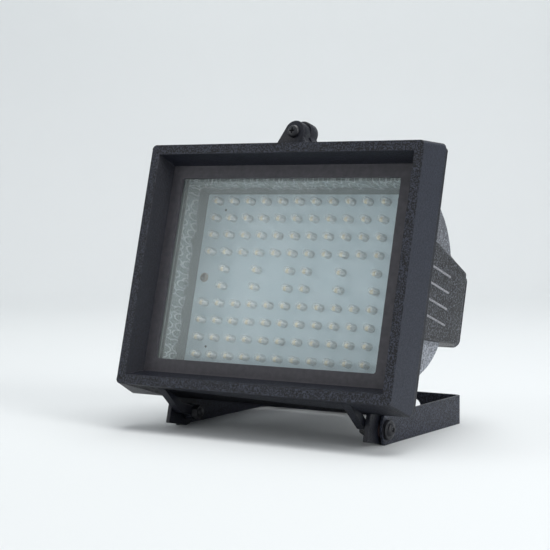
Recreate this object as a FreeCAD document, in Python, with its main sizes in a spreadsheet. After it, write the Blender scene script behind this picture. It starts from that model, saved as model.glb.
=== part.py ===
import FreeCAD, Part
import math
import operator
import os
import Sketcher
from FreeCAD import Placement, Rotation, Vector

# Floodlight head on a bent strap bracket.
# Row frame: origin at the bracket's fixing hole on its back face, +Z up, the lamp shines along -Y.
# The bracket lies on the long edges of its arms and the lamp leans back on its two pivots.
# Lamp pieces are drawn in the lamp's own frame: X right, Y depth behind the rim, Z up the face.

SIZES = (
    ("strap_width", 18.0, "bracket strap, edge to edge"),
    ("strap_thickness", 2.0, "bracket strap sheet"),
    ("bracket_width", 153.0, "over the two arms"),
    ("arm_reach", 96.5, "pivot axis to the back face of the crossbar"),
    ("arm_end", 6.0, "an arm's end in front of its pivot axis"),
    ("arm_end_bow", 2.5, "rounding of an arm's end, chord to arc"),
    ("bend_radius", 3.0, "inside radius of the strap's bends"),
    ("fixing_hole_diameter", 8.5, "round hole in the middle of the crossbar"),
    ("slot_width", 9.0, "side slots of the crossbar"),
    ("slot_length", 14.0, "end to end"),
    ("slot_spacing", 80.0, "centre to centre"),
    ("tilt_angle", 15.5, "how far the lamp leans back, degrees"),
    ("pivot_depth", 40.0, "pivot axis behind the rim plane"),
    ("pivot_below", 9.8, "pivot axis below the lower edge of the rim"),
    ("pivot_diameter", 5.0, "pivot screw shank"),
    ("running_clearance", 0.05, "radial, pivot screw in its holes"),
    ("pivot_head_diameter", 11.6, "pan head of a pivot screw"),
    ("pivot_head_height", 3.2, "pan head of a pivot screw"),
    ("washer_diameter", 12.0, "washers of the pivots"),
    ("washer_thickness", 1.0, "washers of the pivots"),
    ("nut_flats", 8.0, "pivot nut across flats"),
    ("nut_height", 4.0, "pivot nut"),
    ("frame_width", 198.0, "front frame at its rim"),
    ("frame_height", 155.0, "front frame at its rim"),
    ("rim_radius", 3.2, "corner radius of the front frame"),
    ("skirt_depth", 20.0, "front frame, front to back"),
    ("skirt_flare", 3.5, "how far each side of the skirt spreads to the back"),
    ("frame_wall", 2.5, "sheet of the cast front frame"),
    ("rim_width", 6.2, "flat of the rim"),
    ("recess_slope", 4.5, "how far each recess wall leans in"),
    ("recess_depth", 12.4, "rim plane to the back of the recess walls"),
    ("lip_width", 8.3, "seal lip seen in front of the glass"),
    ("glass_thickness", 3.5, "hardened pane"),
    ("seal_lip", 1.1, "seal rubber before and behind the glass"),
    ("seal_side", 1.65, "seal rubber around the edge of the glass"),
    ("seal_rise", 1.2, "how far the inner edge of the seal stands forward"),
    ("seal_back_lip", 6.0, "seal behind the glass, inward from its outside"),
    ("clip_thickness", 1.6, "plates that hold the seal"),
    ("clip_width", 14.0, "plates that hold the seal"),
    ("clip_boss_inset", 4.0, "clip screws from the outside of the rim"),
    ("clip_boss_diameter", 7.0, "posts under the clips"),
    ("clip_side_offset", 50.0, "upper and lower clips from the middle"),
    ("small_screw_diameter", 3.0, "clip, board and cover board screws"),
    ("fit_gap", 0.1, "between parts that seat in each other"),
    ("door_gap", 0.5, "front frame to housing"),
    ("flange_inset", 1.0, "housing flange inside the skirt's outline, each side"),
    ("flange_thickness", 4.0, "housing flange"),
    ("housing_wall", 3.0, "cast housing"),
    ("overlap", 1.0, "how far joined forms reach into each other"),
    ("trough_inset", 1.5, "mouth of the trough inside the rim's height, each side"),
    ("shoulder_inset", 28.0, "where its walls start to round, inside the rim's height, each side"),
    ("shoulder_depth", 62.0, "depth where its walls start to round"),
    ("trough_back", 52.0, "height of its flat back"),
    ("trough_depth", 82.0, "rim plane to the flat back"),
    ("trough_bulge", 2.4, "rounding of the trough, chord to arc"),
    ("trough_overhang", 4.0, "trough at the flange beyond the window, each side"),
    ("trough_draft", 2.0, "how far each end leans in"),
    ("box_spread", 5.7, "rear box at the flange beyond the trough, each side"),
    ("box_height", 67.0, "rear box where it leaves the flange"),
    ("box_side_taper", 16.8, "how far each side wall leans in"),
    ("box_end_taper", 9.7, "how far its top and bottom lean in"),
    ("box_depth", 120.0, "rim plane to the mouth of the rear box"),
    ("box_radius", 5.0, "rounded edges of the rear box"),
    ("rib_count", 4, "raised ribs on each side of the rear box"),
    ("rib_pitch", 10.4, "rib to rib"),
    ("rib_width", 2.2, "raised ribs"),
    ("rib_rise", 1.5, "raised ribs"),
    ("rib_start", 54.0, "depth of the front end of the ribs"),
    ("rib_end", 92.0, "depth of the back end of the ribs"),
    ("lug_radius", 9.0, "round end of a housing lug at the pivot"),
    ("lug_front", 23.5, "rim plane to the front edge of a lug"),
    ("lug_toe", 10.0, "front corner of a lug below the pivot axis"),
    ("lug_thickness", 3.0, "housing lugs"),
    ("hinge_eye_radius", 5.0, "round end of a frame arm at the pivot"),
    ("hinge_root", 4.5, "rim plane to where a frame arm leaves the skirt"),
    ("hinge_bend_depth", 26.0, "rim plane to the lower bend of a frame arm"),
    ("hinge_bend_drop", 2.4, "lower bend of a frame arm below the pivot axis"),
    ("hinge_top_depth", 25.3, "rim plane to the upper bend of a frame arm"),
    ("hinge_top_rise", 3.5, "upper edge of a frame arm above the pivot axis"),
    ("hinge_arm_thickness", 6.0, "frame arms"),
    ("latch_width", 23.5, "closing lug where it leaves the frame"),
    ("latch_radius", 7.2, "round top of the closing lug"),
    ("latch_height", 7.0, "closing screw above the skirt's top"),
    ("latch_thickness", 8.0, "closing lugs"),
    ("latch_step", 2.0, "housing lug taller than the frame lug"),
    ("closing_screw_diameter", 4.0, "closing screw"),
    ("closing_hole_clearance", 0.8, "radial, lets the screw swing out of the housing lug"),
    ("closing_head_diameter", 8.0, "closing screw head"),
    ("closing_head_height", 2.8, "closing screw head"),
    ("reflector_sheet", 0.8, "hammered aluminium"),
    ("reflector_flange", 5.0, "rim of the reflector on the housing"),
    ("reflector_lean", 3.0, "how far its upper and lower walls lean in"),
    ("board_depth", 41.0, "rim plane to the face of the lamp board"),
    ("board_thickness", 1.6, "lamp board and control board"),
    ("board_margin", 0.4, "board beyond the reflector's upper and lower walls"),
    ("lamp_columns", 12, "lamps in a full row"),
    ("lamp_rows", 10, "rows of lamps"),
    ("lamp_side_margin", 11.25, "end lamps of a row from the window's edge"),
    ("lamp_row_margin", 8.1, "first and last rows from the window's edge"),
    ("lamp_diameter", 5.0, "lens of a lamp"),
    ("lamp_height", 8.6, "board to the top of a lens"),
    ("lamp_tip_share", 0.5, "flat top of a lens, of its diameter"),
    ("lamp_dome_share", 0.9, "height of the lens's top, of its radius"),
    ("board_screw_inset", 7.0, "board screws from the window's edge"),
    ("post_diameter", 8.0, "posts under the boards"),
    ("cover_thickness", 3.5, "rear cover"),
    ("cover_seal_thickness", 1.5, "rear cover seal"),
    ("cover_screw_diameter", 4.0, "rear cover screws"),
    ("cover_head_diameter", 8.0, "rear cover screw heads"),
    ("cover_head_height", 2.6, "rear cover screw heads"),
    ("cover_screw_inset", 6.0, "rear cover screws from the edges"),
    ("cover_boss_share", 0.395, "posts for the rear cover screws, of the rear room's depth"),
    ("screw_share", 0.6, "how far a cover screw goes into its post"),
    ("screw_hole_share", 0.8, "how deep a cover post is drilled"),
    ("cell_share", 0.484, "diameter of a battery cell, of the rear room's depth"),
    ("cell_end_room", 4.7, "from a cell's end to the rear box's wall"),
    ("cell_gap", 0.4, "between the cells"),
    ("control_board_inset", 15.0, "control board inside the rear box's mouth, each side"),
    ("control_board_height", 32.0, "control board"),
    ("control_share", 0.184, "control board before the box's mouth, of the rear room's depth"),
    ("control_screw_inset", 7.0, "control board screws from the board's ends"),
    ("terminal_width", 30.0, "terminal block"),
    ("terminal_height", 12.0, "terminal block"),
    ("terminal_share", 0.263, "depth of the terminal block, of the rear room's depth"),
    ("terminal_pitch", 7.2, "wire entries of the terminal block"),
    ("gland_behind", 11.0, "axis of the cable gland behind the trough's back"),
    ("gland_thread", 16.0, "gland thread diameter"),
    ("gland_flats", 19.0, "gland body and cap, across flats"),
    ("gland_hex_height", 4.0, "gland body hexagon"),
    ("gland_cap_height", 12.0, "gland cap"),
    ("gland_throat", 11.2, "opening of the gland body for its rubber"),
    ("gland_rubber_share", 0.9, "length of the rubber, of the cap's height"),
    ("gland_grip_share", 0.5, "thread inside the cap, of the cap's height"),
    ("gland_hexagon_share", 0.7, "hexagon of the cap, of the cap's height"),
    ("gland_nose", 12.8, "outer end of the cap"),
    ("gland_bore", 6.0, "hole for the cable in the gland's rubber"),
    ("gland_boss_diameter", 24.0, "pad on the housing under the gland"),
    ("locknut_height", 2.4, "gland locknut"),
)

doc = FreeCAD.newDocument("floodlight")
sheet = doc.addObject("Spreadsheet::Sheet", "Sizes")
for row, (alias, number, meaning) in enumerate(SIZES, start=1):
    sheet.set(f"A{row}", meaning)
    sheet.set(f"B{row}", str(number))
    sheet.setAlias(f"B{row}", alias)
doc.recompute()

OPERATIONS = {"+": operator.add, "-": operator.sub, "*": operator.mul, "/": operator.truediv}


class Size:
    """A length: its number now, and the sheet formula that gives it."""

    def __init__(self, number, formula):
        self.number = float(number)
        self.formula = formula

    def __add__(self, other):
        return worked_out(self, "+", other)

    def __radd__(self, other):
        return worked_out(other, "+", self)

    def __sub__(self, other):
        return worked_out(self, "-", other)

    def __rsub__(self, other):
        return worked_out(other, "-", self)

    def __mul__(self, other):
        return worked_out(self, "*", other)

    def __rmul__(self, other):
        return worked_out(other, "*", self)

    def __truediv__(self, other):
        return worked_out(self, "/", other)

    def __neg__(self):
        return worked_out(0, "-", self)


def as_size(value):
    if isinstance(value, Size):
        return value
    return Size(value, f"({float(value)})")


def worked_out(left, sign, right):
    left = as_size(left)
    right = as_size(right)
    number = OPERATIONS[sign](left.number, right.number)
    return Size(number, f"({left.formula} {sign} {right.formula})")


def size(alias):
    return Size(sheet.get(alias), f"Sizes.{alias}")


def count(alias):
    return int(sheet.get(alias))


ZERO = as_size(0)
PIVOT_DROP = size("frame_height") / 2 + size("pivot_below")
LAMP_PLACE = (
    Placement(Vector(0, -size("arm_reach").number, 0), Rotation(Vector(1, 0, 0), -size("tilt_angle").number))
    * Placement(Vector(0, -size("pivot_depth").number, PIVOT_DROP.number), Rotation())
)
ALONG_X = Rotation(Vector(0, 1, 0), 90)
ALONG_Y = Rotation(Vector(1, 0, 0), -90)
DOWN = Rotation(Vector(1, 0, 0), 180)
nodes = []


def node(piece, label, lamp=True):
    """Name a finished sub-part and put it where the lamp or the bracket has it."""
    piece.Label = label
    if lamp:
        piece.Placement = LAMP_PLACE
    nodes.append(piece)
    return piece


def bind(piece, **lengths):
    for name, length in lengths.items():
        piece.setExpression(name, as_size(length).formula)


def put(piece, x=ZERO, y=ZERO, z=ZERO, turn=Rotation()):
    x, y, z = as_size(x), as_size(y), as_size(z)
    piece.Placement = Placement(Vector(x.number, y.number, z.number), turn)
    piece.setExpression("Placement.Base.x", x.formula)
    piece.setExpression("Placement.Base.y", y.formula)
    piece.setExpression("Placement.Base.z", z.formula)
    return piece


def cylinder(name, diameter, length, x=ZERO, y=ZERO, z=ZERO, turn=ALONG_Y):
    piece = doc.addObject("Part::Cylinder", name)
    bind(piece, Radius=diameter / 2, Height=length)
    return put(piece, x, y, z, turn)


def cone(name, first_diameter, last_diameter, length, x=ZERO, y=ZERO, z=ZERO, turn=ALONG_Y):
    piece = doc.addObject("Part::Cone", name)
    bind(piece, Radius1=first_diameter / 2, Radius2=last_diameter / 2, Height=length)
    return put(piece, x, y, z, turn)


def hexagon(name, flats, length, x=ZERO, y=ZERO, z=ZERO, turn=ALONG_Y):
    piece = doc.addObject("Part::Prism", name)
    piece.Polygon = 6
    bind(piece, Circumradius=flats / math.sqrt(3), Height=length)
    return put(piece, x, y, z, turn)


def block(name, width, depth, height, x=ZERO, y=ZERO, z=ZERO):
    """A box whose x is its middle, y its front and z its middle."""
    piece = doc.addObject("Part::Box", name)
    bind(piece, Length=width, Width=depth, Height=height)
    return put(piece, x - width / 2, y, z - height / 2)


def joined(name, pieces):
    piece = doc.addObject("Part::MultiFuse", name)
    piece.Shapes = pieces
    return piece


def group(name, pieces):
    piece = doc.addObject("Part::Compound", name)
    piece.Links = pieces
    return piece


def cut(name, base, tools):
    piece = doc.addObject("Part::Cut", name)
    piece.Base = base
    piece.Tool = tools[0] if len(tools) == 1 else joined(f"{name}_tools", tools)
    return piece


def common(name, first, second):
    piece = doc.addObject("Part::Common", name)
    piece.Base = first
    piece.Tool = second
    return piece


def new_body(name):
    return doc.addObject("PartDesign::Body", name)


def new_sketch(body, name, role, offset=ZERO):
    sketch = body.newObject("Sketcher::SketchObject", name)
    plane = [feature for feature in body.Origin.OriginFeatures if feature.Role == role][0]
    sketch.AttachmentSupport = [(plane, "")]
    sketch.MapMode = "FlatFace"
    sketch.setExpression("AttachmentOffset.Base.z", as_size(offset).formula)
    return sketch


def rounded_rectangle(body, name, width, height, radius, depth):
    """A sketch across the lamp at a depth behind the rim, rounded at its corners."""
    width, height, radius = as_size(width), as_size(height), as_size(radius)
    sketch = new_sketch(body, name, "XZ_Plane", -as_size(depth))
    across = width.number / 2
    up = height.number / 2
    corner = radius.number
    near_x = across - corner
    near_y = up - corner
    sides = (
        ((-near_x, up), (near_x, up)),
        ((across, near_y), (across, -near_y)),
        ((near_x, -up), (-near_x, -up)),
        ((-across, -near_y), (-across, near_y)),
    )
    for start, end in sides:
        sketch.addGeometry(Part.LineSegment(Vector(*start, 0), Vector(*end, 0)))
    quarter = math.pi / 2
    for way_x, way_y, quarters in ((1, 1, 0), (1, -1, 3), (-1, -1, 2), (-1, 1, 1)):
        circle = Part.Circle(Vector(way_x * near_x, way_y * near_y, 0), Vector(0, 0, 1), corner)
        start = quarters * quarter
        sketch.addGeometry(Part.ArcOfCircle(circle, start, start + quarter))
    add = sketch.addConstraint
    rule = Sketcher.Constraint
    START, END, WHOLE = 1, 2, 0
    for side in range(4):
        arc = 4 + side
        following = (side + 1) % 4
        add(rule("Tangent", side, END, arc, END))
        add(rule("Tangent", arc, START, following, START))
    add(rule("Horizontal", 0))
    add(rule("Vertical", 1))
    add(rule("Horizontal", 2))
    add(rule("Vertical", 3))
    for arc in (5, 6, 7):
        add(rule("Equal", 4, arc))
    add(rule("Symmetric", 4, 3, 6, 3, -1, START))
    add(rule("Radius", 4, corner))
    sketch.setExpression(f"Constraints[{sketch.ConstraintCount - 1}]", radius.formula)
    add(rule("Distance", 0, START, 2, WHOLE, 2 * up))
    sketch.setExpression(f"Constraints[{sketch.ConstraintCount - 1}]", height.formula)
    add(rule("Distance", 1, START, 3, WHOLE, 2 * across))
    sketch.setExpression(f"Constraints[{sketch.ConstraintCount - 1}]", width.formula)
    return sketch


def draw(sketch, points):
    """A closed outline: each point is (a, b), or (a, b, c, d) where an arc comes to it through (c, d)."""
    previous = points[-1]
    for point in points:
        start = Vector(previous[0], previous[1], 0)
        end = Vector(point[0], point[1], 0)
        if len(point) == 4:
            sketch.addGeometry(Part.Arc(start, Vector(point[2], point[3], 0), end))
        else:
            sketch.addGeometry(Part.LineSegment(start, end))
        previous = point


def outline(body, name, role, points, offset=ZERO):
    sketch = new_sketch(body, name, role, offset)
    draw(sketch, points)
    return sketch


def loft(body, name, first, last, removes=False):
    kind = "PartDesign::SubtractiveLoft" if removes else "PartDesign::AdditiveLoft"
    feature = body.newObject(kind, name)
    feature.Profile = first
    feature.Sections = [last]
    feature.Ruled = True
    return feature


def pad(body, name, sketch, length, middle=False, backwards=False):
    feature = body.newObject("PartDesign::Pad", name)
    feature.Profile = sketch
    feature.Midplane = middle
    feature.Reversed = backwards
    bind(feature, Length=length)
    return feature


def pocket_through(body, name, sketch):
    feature = body.newObject("PartDesign::Pocket", name)
    feature.Profile = sketch
    feature.Type = "ThroughAll"
    feature.Midplane = True
    return feature


def tapered(body, name, first, last, removes=False):
    """A loft between two rounded rectangles, each (width, height, radius, depth)."""
    front = rounded_rectangle(body, f"{name}_front", *first)
    back = rounded_rectangle(body, f"{name}_back", *last)
    return loft(body, name, front, back, removes)


def circle_sketch(body, name, role, circles):
    sketch = new_sketch(body, name, role)
    for across, up, diameter in circles:
        across, up, diameter = as_size(across), as_size(up), as_size(diameter)
        middle = Vector(across.number, up.number, 0)
        sketch.addGeometry(Part.Circle(middle, Vector(0, 0, 1), diameter.number / 2))
    return sketch


# Sizes that several pieces share
FRAME_WIDTH = size("frame_width")
FRAME_HEIGHT = size("frame_height")
SKIRT_DEPTH = size("skirt_depth")
FLARE = size("skirt_flare")
WALL = size("frame_wall")
RECESS_WIDTH = FRAME_WIDTH - 2 * size("rim_width")
RECESS_HEIGHT = FRAME_HEIGHT - 2 * size("rim_width")
THROAT_WIDTH = RECESS_WIDTH - 2 * size("recess_slope")
THROAT_HEIGHT = RECESS_HEIGHT - 2 * size("recess_slope")
WINDOW_WIDTH = THROAT_WIDTH - 2 * size("lip_width")
WINDOW_HEIGHT = THROAT_HEIGHT - 2 * size("lip_width")
SEAL_WIDTH = THROAT_WIDTH + 2 * WALL - 2 * size("fit_gap")
SEAL_HEIGHT = THROAT_HEIGHT + 2 * WALL - 2 * size("fit_gap")
SEAL_FRONT = size("recess_depth") + size("fit_gap")
GLASS_FRONT = SEAL_FRONT + size("seal_lip")
SEAL_BACK = GLASS_FRONT + size("glass_thickness") + size("seal_lip")
SEAL_WALL = size("seal_side")
FLANGE_FRONT = SKIRT_DEPTH + size("door_gap")
FLANGE_BACK = FLANGE_FRONT + size("flange_thickness")
PIVOT_HOLE = size("pivot_diameter") + 2 * size("running_clearance")
ARM_INSIDE = size("bracket_width") / 2 - size("strap_thickness")
ARM_OUTSIDE = size("bracket_width") / 2
LUG_OUTSIDE = ARM_INSIDE - size("washer_thickness") - 2 * size("fit_gap")
LUG_INSIDE = LUG_OUTSIDE - size("lug_thickness")
HINGE_OUTSIDE = LUG_INSIDE - size("door_gap")
HINGE_INSIDE = HINGE_OUTSIDE - size("hinge_arm_thickness")
LATCH_SCREW_UP = FRAME_HEIGHT / 2 + FLARE + size("latch_height")
HOUSING_WALL = size("housing_wall")
TROUGH_MOUTH = FRAME_HEIGHT - 2 * size("trough_inset")
TROUGH_SHOULDER = FRAME_HEIGHT - 2 * size("shoulder_inset")
TROUGH_LENGTH = WINDOW_WIDTH + 2 * size("trough_overhang")
BOX_WIDTH = TROUGH_LENGTH + 2 * size("box_spread")
BOX_LENGTH = size("box_depth") - FLANGE_BACK
BOX_MOUTH_WIDTH = BOX_WIDTH - 2 * size("box_side_taper")
BOX_MOUTH_HEIGHT = size("box_height") - 2 * size("box_end_taper")
COVER_FRONT = size("box_depth") + size("cover_seal_thickness")
REAR_ROOM = size("box_depth") - size("trough_depth")
COVER_BOSS = REAR_ROOM * size("cover_boss_share")
CELL_DIAMETER = REAR_ROOM * size("cell_share")
CONTROL_DEPTH = size("box_depth") - REAR_ROOM * size("control_share")
CONTROL_WIDTH = BOX_MOUTH_WIDTH - 2 * size("control_board_inset")
CONTROL_SCREW = CONTROL_WIDTH / 2 - size("control_screw_inset")
GLAND_DEPTH = size("trough_depth") + size("gland_behind")
BOARD_SCREW = WINDOW_WIDTH / 2 - size("board_screw_inset")
OVERLAP = size("overlap")
CLIP_REACH = size("clip_boss_inset") * 2 + size("clip_boss_diameter") / 2
BLIND_HOLE = 4 * HOUSING_WALL
SIDES = ((-1, "left"), (1, "right"))


def skirt_half(half, depth):
    """How far the skirt's outside is from the middle at a depth behind the rim."""
    return half + FLARE * depth / SKIRT_DEPTH


def across_x(name, diameter, middle, half_length, y, z):
    """A round bar along X on each side of the lamp or bracket."""
    bars = []
    for side, word in SIDES:
        start = as_size(middle) * side - half_length
        bars.append(cylinder(f"{name}_{word}", diameter, 2 * half_length, start, y, z, ALONG_X))
    return bars


def tilt_bracket():
    half = ARM_OUTSIDE.number
    reach = size("arm_reach").number
    sheet_thickness = size("strap_thickness").number
    edge = size("strap_width").number / 2
    bend = size("bend_radius").number
    outer = bend + sheet_thickness
    diagonal = math.sqrt(0.5)
    front = reach + size("arm_end").number
    corner = front - size("arm_end_bow").number
    body = new_body("bracket_strap")
    strap = outline(body, "strap_line", "XY_Plane", (
        (-half, -front),
        (-half, -outer),
        (-half + outer, 0, -half + outer - outer * diagonal, -outer + outer * diagonal),
        (half - outer, 0),
        (half, -outer, half - outer + outer * diagonal, -outer + outer * diagonal),
        (half, -front),
        (half - sheet_thickness, -front),
        (half - sheet_thickness, -outer),
        (half - outer, -sheet_thickness, half - outer + bend * diagonal, -outer + bend * diagonal),
        (-half + outer, -sheet_thickness),
        (-half + sheet_thickness, -outer, -half + outer - bend * diagonal, -outer + bend * diagonal),
        (-half + sheet_thickness, -front),
    ))
    pad(body, "strap", strap, size("strap_width"), middle=True)
    past = front + edge
    ends = outline(body, "arm_end_line", "YZ_Plane", (
        (-corner, edge, -front, 0),
        (-past, edge),
        (-past, -edge),
        (-corner, -edge),
    ))
    pocket_through(body, "arm_ends", ends)
    pivots = circle_sketch(body, "pivot_holes_line", "YZ_Plane", ((-reach, 0, PIVOT_HOLE),))
    pocket_through(body, "pivot_holes", pivots)
    middle_hole = circle_sketch(body, "fixing_hole_line", "XZ_Plane", ((0, 0, size("fixing_hole_diameter")),))
    pocket_through(body, "fixing_hole", middle_hole)
    slot_edge = size("slot_width").number / 2
    slot_middle = (size("slot_length") - size("slot_width")).number / 2
    for side, name in SIDES:
        place = side * size("slot_spacing").number / 2
        slot = outline(body, f"{name}_slot_line", "XZ_Plane", (
            (place - slot_middle, slot_edge, place - slot_middle - slot_edge, 0),
            (place + slot_middle, slot_edge),
            (place + slot_middle, -slot_edge, place + slot_middle + slot_edge, 0),
            (place - slot_middle, -slot_edge),
        ))
        pocket_through(body, f"{name}_slot", slot)
    node(body, "tilt_bracket", lamp=False)


def pivot_hardware():
    reach = -size("arm_reach")
    screws, outer_washers, inner_washers, nuts = [], [], [], []
    gap = size("fit_gap")
    head_height = size("pivot_head_height")
    washer = size("washer_diameter")
    washer_thickness = size("washer_thickness")
    nut_face = HINGE_INSIDE - 2 * gap
    inner_end = nut_face - size("nut_height") - OVERLAP
    for side, word in SIDES:
        turn = Rotation(Vector(0, 1, 0), 90 * side)
        head_start = (ARM_OUTSIDE + washer_thickness) * side
        nut_start = nut_face * side
        length = ARM_OUTSIDE + washer_thickness - inner_end
        shank = cylinder(
            f"pivot_shank_{word}", size("pivot_diameter"), length, inner_end * side, reach, ZERO, turn)
        head = cylinder(
            f"pivot_head_{word}", size("pivot_head_diameter"), head_height, head_start, reach, ZERO, turn)
        screws.append(joined(f"pivot_screw_{word}", [shank, head]))
        for name, start, pieces in (
            ("outer", ARM_OUTSIDE * side, outer_washers),
            ("inner", (LUG_OUTSIDE + gap) * side, inner_washers),
        ):
            disc = cylinder(f"{name}_disc_{word}", washer, washer_thickness, start, reach, ZERO, turn)
            hole = cylinder(
                f"{name}_disc_hole_{word}", PIVOT_HOLE, washer_thickness, start, reach, ZERO, turn)
            pieces.append(cut(f"{name}_washer_{word}", disc, [hole]))
        back = Rotation(Vector(0, 1, 0), -90 * side)
        nut = hexagon(f"nut_hex_{word}", size("nut_flats"), size("nut_height"), nut_start, reach, ZERO, back)
        hole = cylinder(f"nut_hole_{word}", PIVOT_HOLE, size("nut_height"), nut_start, reach, ZERO, back)
        nuts.append(cut(f"nut_{word}", nut, [hole]))
    node(group("screws_of_pivots", screws), "pivot_screws", lamp=False)
    node(group("outer_washers_of_pivots", outer_washers), "pivot_washers", lamp=False)
    node(group("inner_washers_of_pivots", inner_washers), "friction_washers", lamp=False)
    node(group("nuts_of_pivots", nuts), "pivot_nuts", lamp=False)


def latch_outline(body, name, depth, step):
    """A lug that narrows to a round top, rooted inside the frame's or the housing's upper edge."""
    screw_up = LATCH_SCREW_UP.number
    radius = size("latch_radius").number
    foot = size("latch_width").number / 2
    root = FRAME_HEIGHT.number / 2 + FLARE.number - WALL.number
    reach = math.hypot(foot, screw_up - root)
    lean = math.atan2(screw_up - root, foot) - math.acos(radius / reach)
    touch_x = radius * math.cos(lean)
    touch_z = screw_up + step + radius * math.sin(lean)
    return outline(body, name, "XZ_Plane", (
        (-foot, root),
        (-touch_x, touch_z),
        (touch_x, touch_z, 0, screw_up + step + radius),
        (foot, root),
    ), -as_size(depth))


def clip_places():
    """Each clip: the way it points in from its screw, and the screw's place."""
    side = FRAME_WIDTH / 2 - size("clip_boss_inset")
    top = FRAME_HEIGHT / 2 - size("clip_boss_inset")
    offset = size("clip_side_offset")
    return (
        ("left", (1, 0), -side, ZERO),
        ("right", (-1, 0), side, ZERO),
        ("upper_left", (0, -1), -offset, top),
        ("upper_right", (0, -1), offset, top),
        ("lower_left", (0, 1), -offset, -top),
        ("lower_right", (0, 1), offset, -top),
    )


def front_frame():
    back_width = FRAME_WIDTH + 2 * FLARE
    back_height = FRAME_HEIGHT + 2 * FLARE
    rim = size("rim_radius")
    ledge = 2 * WALL
    body = new_body("frame_casting")
    tapered(
        body, "skirt",
        (FRAME_WIDTH, FRAME_HEIGHT, rim, ZERO),
        (back_width, back_height, rim, SKIRT_DEPTH),
    )
    front_width = FRAME_WIDTH + 2 * FLARE * WALL / SKIRT_DEPTH
    front_height = FRAME_HEIGHT + 2 * FLARE * WALL / SKIRT_DEPTH
    tapered(
        body, "skirt_hollow",
        (front_width - 2 * WALL, front_height - 2 * WALL, rim / 2, WALL),
        (back_width - 2 * WALL, back_height - 2 * WALL, rim / 2, SKIRT_DEPTH),
        removes=True,
    )
    tapered(
        body, "recess_block",
        (RECESS_WIDTH + ledge, RECESS_HEIGHT + ledge, rim / 2, ZERO),
        (THROAT_WIDTH + ledge, THROAT_HEIGHT + ledge, rim / 2, size("recess_depth")),
    )
    tapered(
        body, "recess",
        (RECESS_WIDTH, RECESS_HEIGHT, rim / 8, ZERO),
        (THROAT_WIDTH, THROAT_HEIGHT, rim / 8, size("recess_depth")),
        removes=True,
    )
    latch = latch_outline(body, "latch_line", SKIRT_DEPTH, 0)
    pad(body, "latch", latch, size("latch_thickness"))
    arms = [hinge_arm("left", -HINGE_OUTSIDE), hinge_arm("right", HINGE_INSIDE)]
    bosses = [
        cylinder(f"{name}_boss", size("clip_boss_diameter"), SEAL_BACK - 2 * WALL, x, 2 * WALL, z)
        for name, way, x, z in clip_places()
    ]
    holes = [
        cylinder(f"{name}_boss_hole", size("small_screw_diameter"), SEAL_BACK - 3 * WALL, x, 3 * WALL, z)
        for name, way, x, z in clip_places()
    ]
    loose = size("closing_screw_diameter") + 4 * size("fit_gap")
    holes.append(cylinder("latch_hole", loose, SKIRT_DEPTH, ZERO, ZERO, LATCH_SCREW_UP))
    holes += across_x(
        "hinge_hole", PIVOT_HOLE, (HINGE_INSIDE + HINGE_OUTSIDE) / 2, size("hinge_arm_thickness"),
        size("pivot_depth"), -PIVOT_DROP)
    casting = joined("frame_solid", [body, *arms, *bosses])
    node(cut("frame_finished", casting, holes), "front_frame")


def hinge_arm(name, start):
    """An arm that runs from the skirt's underside back and down to its eye on the pivot axis."""
    eye = size("hinge_eye_radius").number
    depth = size("pivot_depth").number
    down = -PIVOT_DROP.number
    root = size("hinge_root").number
    skirt = SKIRT_DEPTH.number - size("fit_gap").number
    root_down = -skirt_half(FRAME_HEIGHT / 2, root).number
    skirt_down = -skirt_half(FRAME_HEIGHT / 2, skirt).number
    bite = WALL.number / 2
    top = size("hinge_top_rise").number
    low = size("hinge_bend_drop").number
    top_reach = math.sqrt(eye ** 2 - top ** 2)
    low_reach = math.sqrt(eye ** 2 - low ** 2)
    body = new_body(f"hinge_arm_{name}")
    arm = outline(body, f"hinge_arm_{name}_line", "YZ_Plane", (
        (root, root_down + bite),
        (skirt, skirt_down + bite),
        (skirt, skirt_down),
        (size("hinge_top_depth").number, down + top),
        (depth - top_reach, down + top),
        (depth - low_reach, down - low, depth + eye, down),
        (size("hinge_bend_depth").number, down - low),
        (root, root_down),
    ), start)
    pad(body, f"hinge_arm_{name}_plate", arm, size("hinge_arm_thickness"))
    return body


def glass_pane():
    gap = size("fit_gap")
    width = SEAL_WIDTH - 2 * SEAL_WALL - 2 * gap
    height = SEAL_HEIGHT - 2 * SEAL_WALL - 2 * gap
    pane = new_body("pane")
    sketch = rounded_rectangle(pane, "pane_line", width, height, size("rim_radius") / 2, GLASS_FRONT + gap)
    pad(pane, "pane_plate", sketch, size("glass_thickness") - 2 * gap, backwards=True)
    node(pane, "glass_pane")


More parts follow.
